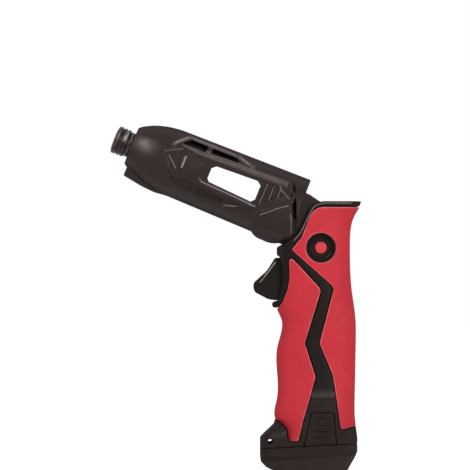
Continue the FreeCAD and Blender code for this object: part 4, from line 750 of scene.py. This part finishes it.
def nose_seal():
    """Round ring turned about the head's axis."""
    work = bmesh.new()
    rings = []
    for step in range(SEAL_STEPS):
        turn = 2.0 * math.pi * step / SEAL_STEPS
        rings.append([
            work.verts.new(on_head(along, PANEL_SHIFT - radius * math.cos(turn), radius * math.sin(turn)))
            for radius, along in SEAL
        ])
    for ring, after in zip(rings, rings[1:] + rings[:1]):
        for here in range(len(SEAL)):
            there = (here + 1) % len(SEAL)
            work.faces.new((ring[here], ring[there], after[there], after[here]))
    bmesh.ops.recalc_face_normals(work, faces=work.faces)
    mesh = bpy.data.meshes.new("nose_seal")
    work.to_mesh(mesh)
    work.free()
    mesh.materials.append(FINISHES["black_gloss"])
    piece = new_object("nose_seal", mesh)
    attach(piece, "head")


nose_seal()


# Raised lines

LINE_INPUTS = (
    ("Lines", "Geometry", None),
    ("Left skin", "Object", None),
    ("Right skin", "Object", None),
    ("Corner", "Float", LINE_CORNER * MM),
    ("Step", "Float", LINE_STEP * MM),
    ("Sink", "Float", LINE_SINK),
    ("Taper", "Float", LINE_TAPER),
    ("Crest", "Float", LINE_CREST),
    ("Finish", "Material", None),
)


def raised_line_tree():
    """Lines drawn beside the tool, dropped sideways onto its skins and given a round, tapering body."""
    tree = bpy.data.node_groups.new("raised_line", "GeometryNodeTree")
    tree.is_modifier = True
    sockets = {}
    for label, kind, value in LINE_INPUTS:
        socket = tree.interface.new_socket(label, in_out="INPUT", socket_type="NodeSocket" + kind)
        if value is not None:
            socket.default_value = value
        sockets[label] = socket.identifier
    tree.interface.new_socket("Lines", in_out="OUTPUT", socket_type="NodeSocketGeometry")
    given = tree.nodes.new("NodeGroupInput").outputs

    def node(kind, links, **options):
        return add_node(tree, kind, links, **options)

    def maths(kind, *values):
        return node("ShaderNodeMath", dict(enumerate(values)), operation=kind)[0]

    def mark(label):
        return node("GeometryNodeInputNamedAttribute", {"Name": label}, data_type="FLOAT")["Attribute"]

    skins = tree.nodes.new("GeometryNodeJoinGeometry")
    for label in ("Left skin", "Right skin"):
        skin = node("GeometryNodeObjectInfo", {"Object": given[label]})
        tree.links.new(skin["Geometry"], skins.inputs[0])
    target = skins.outputs[0]

    # The line, with rounded corners and even steps
    curve = node("GeometryNodeMeshToCurve", {"Mesh": given["Lines"]})["Curve"]
    corners = {"Curve": curve, "Count": LINE_CORNER_STEPS, "Radius": given["Corner"], "Limit Radius": True}
    rounded = node("GeometryNodeFilletCurve", corners, mode="POLY")["Curve"]
    steps = {"Curve": rounded, "Length": given["Step"]}
    evened = node("GeometryNodeResampleCurve", steps, mode="LENGTH")["Curve"]

    # Its fall onto the skins, sunk by a share of its width
    place = node("GeometryNodeInputPosition", {})[0]
    side = node("ShaderNodeSeparateXYZ", {0: place})["Y"]
    inward = node("ShaderNodeCombineXYZ", {"Y": maths("MULTIPLY", maths("SIGN", side), -1.0)})[0]
    ray = {"Target Geometry": target, "Ray Direction": inward, "Ray Length": BESIDE * MM}
    hit = node("GeometryNodeRaycast", ray)
    width = mark(WIDTH)
    depth = maths("MULTIPLY", maths("MULTIPLY", width, given["Sink"]), -1.0)
    sunk = node("ShaderNodeVectorMath", {0: hit["Hit Normal"], "Scale": depth}, operation="SCALE")["Vector"]
    fall = {"Geometry": evened, "Position": hit["Hit Position"], "Offset": sunk}
    laid = node("GeometryNodeSetPosition", fall)["Geometry"]

    # Its body, thinner towards both tips
    share = node("GeometryNodeSplineParameter", {})["Factor"]
    from_end = maths("SUBTRACT", 0.5, maths("ABSOLUTE", maths("SUBTRACT", share, 0.5)))
    grown = maths("MINIMUM", maths("ADD", maths("MULTIPLY", from_end, given["Taper"]), LINE_TIP), 1.0)
    thick = maths("MULTIPLY", width, grown)
    circle = {"Resolution": LINE_SIDES, "Radius": 0.5}
    ring = node("GeometryNodeCurvePrimitiveCircle", circle, mode="RADIUS")["Curve"]
    body = {"Curve": laid, "Profile Curve": ring, "Scale": thick, "Fill Caps": True}
    solid = node("GeometryNodeCurveToMesh", body)["Mesh"]

    # Its painted highlight tone, fading from the crest down to the skin
    lift = node("GeometryNodeProximity", {0: target}, target_element="FACES")["Distance"]
    crest = maths("MINIMUM", maths("DIVIDE", lift, maths("MULTIPLY", thick, given["Crest"])), 1.0)
    marked = {"Geometry": solid, "Name": TONE, "Value": maths("MULTIPLY", mark(TONE), crest)}
    toned = node("GeometryNodeStoreNamedAttribute", marked, data_type="FLOAT", domain="POINT")["Geometry"]

    smooth = node("GeometryNodeSetShadeSmooth", {"Geometry": toned})["Geometry"]
    real = node("GeometryNodeRealizeInstances", {"Geometry": smooth})["Geometry"]
    finished = node("GeometryNodeSetMaterial", {"Geometry": real, "Material": given["Finish"]})["Geometry"]
    node("NodeGroupOutput", {0: finished})
    return tree, sockets


LINE_TREE, LINE_SOCKETS = raised_line_tree()


def raised_lines(name, lines, place, skins, body):
    """Both sides' lines as one piece that sits on the named mouldings."""
    points = []
    edges = []
    widths = []
    tones = []
    for side in (LEFT, RIGHT):
        for line, width, tone in lines:
            start = len(points)
            points.extend(place(first, second, side * BESIDE) for first, second in line)
            edges.extend((start + step, start + step + 1) for step in range(len(line) - 1))
            widths.extend([width * MM] * len(line))
            tones.extend([tone] * len(line))
    mesh = bpy.data.meshes.new(name)
    mesh.from_pydata(points, edges, [])
    write_marks(mesh, WIDTH, widths)
    write_marks(mesh, TONE, tones)
    piece = new_object(name, mesh)
    drape = piece.modifiers.new("drape", "NODES")
    drape.node_group = LINE_TREE
    for label, skin in zip(("Left skin", "Right skin"), skins):
        drape[LINE_SOCKETS[label]] = PIECES[skin]
    drape[LINE_SOCKETS["Finish"]] = LINE_FINISH
    settle(piece)
    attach(piece, body)


raised_lines(
    "head_lines", HEAD_LINES, on_head, ("head_moulding_left", "head_moulding_right"), "head",
)
raised_lines("grip_lines", GRIP_LINES, on_side, ("grip_frame_left", "grip_frame_right"), "grip")
raised_lines(
    "trigger_lines", TRIGGER_LINES, on_side, ("trigger_lever", "trigger_lever"), "trigger",
)


# Solids that keep their own shape take the finish of their slot

slot_of = {row["node"]: row["material_slot"] for row in frame["record"]["subparts"]}
for node, solid in frame["nodes"].items():
    if solid.hide_render:
        continue
    solid.data.materials.clear()
    solid.data.materials.append(FINISHES[slot_of[node]])


# Floor, backdrop and light

def seen_by(tree, *rays):
    """1 for the named kinds of ray, 0 for others."""
    path = add_node(tree, "ShaderNodeLightPath", {})
    seen = path[rays[0]]
    for ray in rays[1:]:
        seen = add_node(tree, "ShaderNodeMath", {0: seen, 1: path[ray]}, operation="MAXIMUM")[0]
    return seen


def pale_floor():
    """White floor that the camera sees near white and that keeps the tool's soft shadow."""
    mesh = bpy.data.meshes.new("floor")
    signs = ((-1, -1), (1, -1), (1, 1), (-1, 1))
    corners = [(x * FLOOR_HALF, y * FLOOR_HALF, 0.0) for x, y in signs]
    mesh.from_pydata(corners, [], [(0, 1, 2, 3)])
    material = bpy.data.materials.new("floor_white")
    material.use_nodes = True
    tree = material.node_tree
    tree.nodes.clear()
    seen = seen_by(tree, "Is Camera Ray", "Is Glossy Ray")
    level = add_node(tree, "ShaderNodeMath", {0: seen, 1: FLOOR_GLOW}, operation="MULTIPLY")[0]
    glow = add_node(tree, "ShaderNodeEmission", {"Strength": level})[0]
    matt = add_node(tree, "ShaderNodeBsdfDiffuse", {"Color": FLOOR_COLOUR})[0]
    total = add_node(tree, "ShaderNodeAddShader", {0: matt, 1: glow})[0]
    add_node(tree, "ShaderNodeOutputMaterial", {"Surface": total})
    mesh.materials.append(material)
    floor = new_object("floor", mesh)


def studio_world():
    """Even studio light; the camera and mirror-like surfaces see plain white."""
    world = bpy.data.worlds.new("studio")
    bpy.context.scene.world = world
    world.use_nodes = True
    tree = world.node_tree
    tree.nodes.clear()
    seen = seen_by(tree, "Is Camera Ray", "Is Glossy Ray", "Is Transmission Ray")
    soft = add_node(tree, "ShaderNodeBackground", {"Color": WHITE, "Strength": AMBIENT})[0]
    plain = add_node(tree, "ShaderNodeBackground", {"Color": WHITE, "Strength": 1.0})[0]
    chosen = add_node(tree, "ShaderNodeMixShader", {0: seen, 1: soft, 2: plain})[0]
    add_node(tree, "ShaderNodeOutputWorld", {"Surface": chosen})


def soft_box(name, place, size, power):
    lamp = bpy.data.lights.new(name, "AREA")
    lamp.shape = "SQUARE"
    lamp.size = size
    lamp.energy = power
    box = new_object(name, lamp)
    box.location = place
    box.rotation_euler = (LIGHT_AIM - Vector(place)).to_track_quat("-Z", "Y").to_euler()


pale_floor()
studio_world()
for row in SOFT_BOXES:
    soft_box(*row)

camera_data = bpy.data.cameras.new("camera")
camera_data.sensor_width = SENSOR
camera_data.lens = SENSOR * CAMERA_DISTANCE / FIELD
camera_data.clip_end = CAMERA_REACH
camera = new_object("camera", camera_data)
camera.location = (CAMERA_X, -CAMERA_DISTANCE, CAMERA_Z)
camera.rotation_euler = (math.pi / 2.0, 0.0, 0.0)
bpy.context.scene.camera = camera
bpy.context.scene.view_settings.view_transform = "Standard"
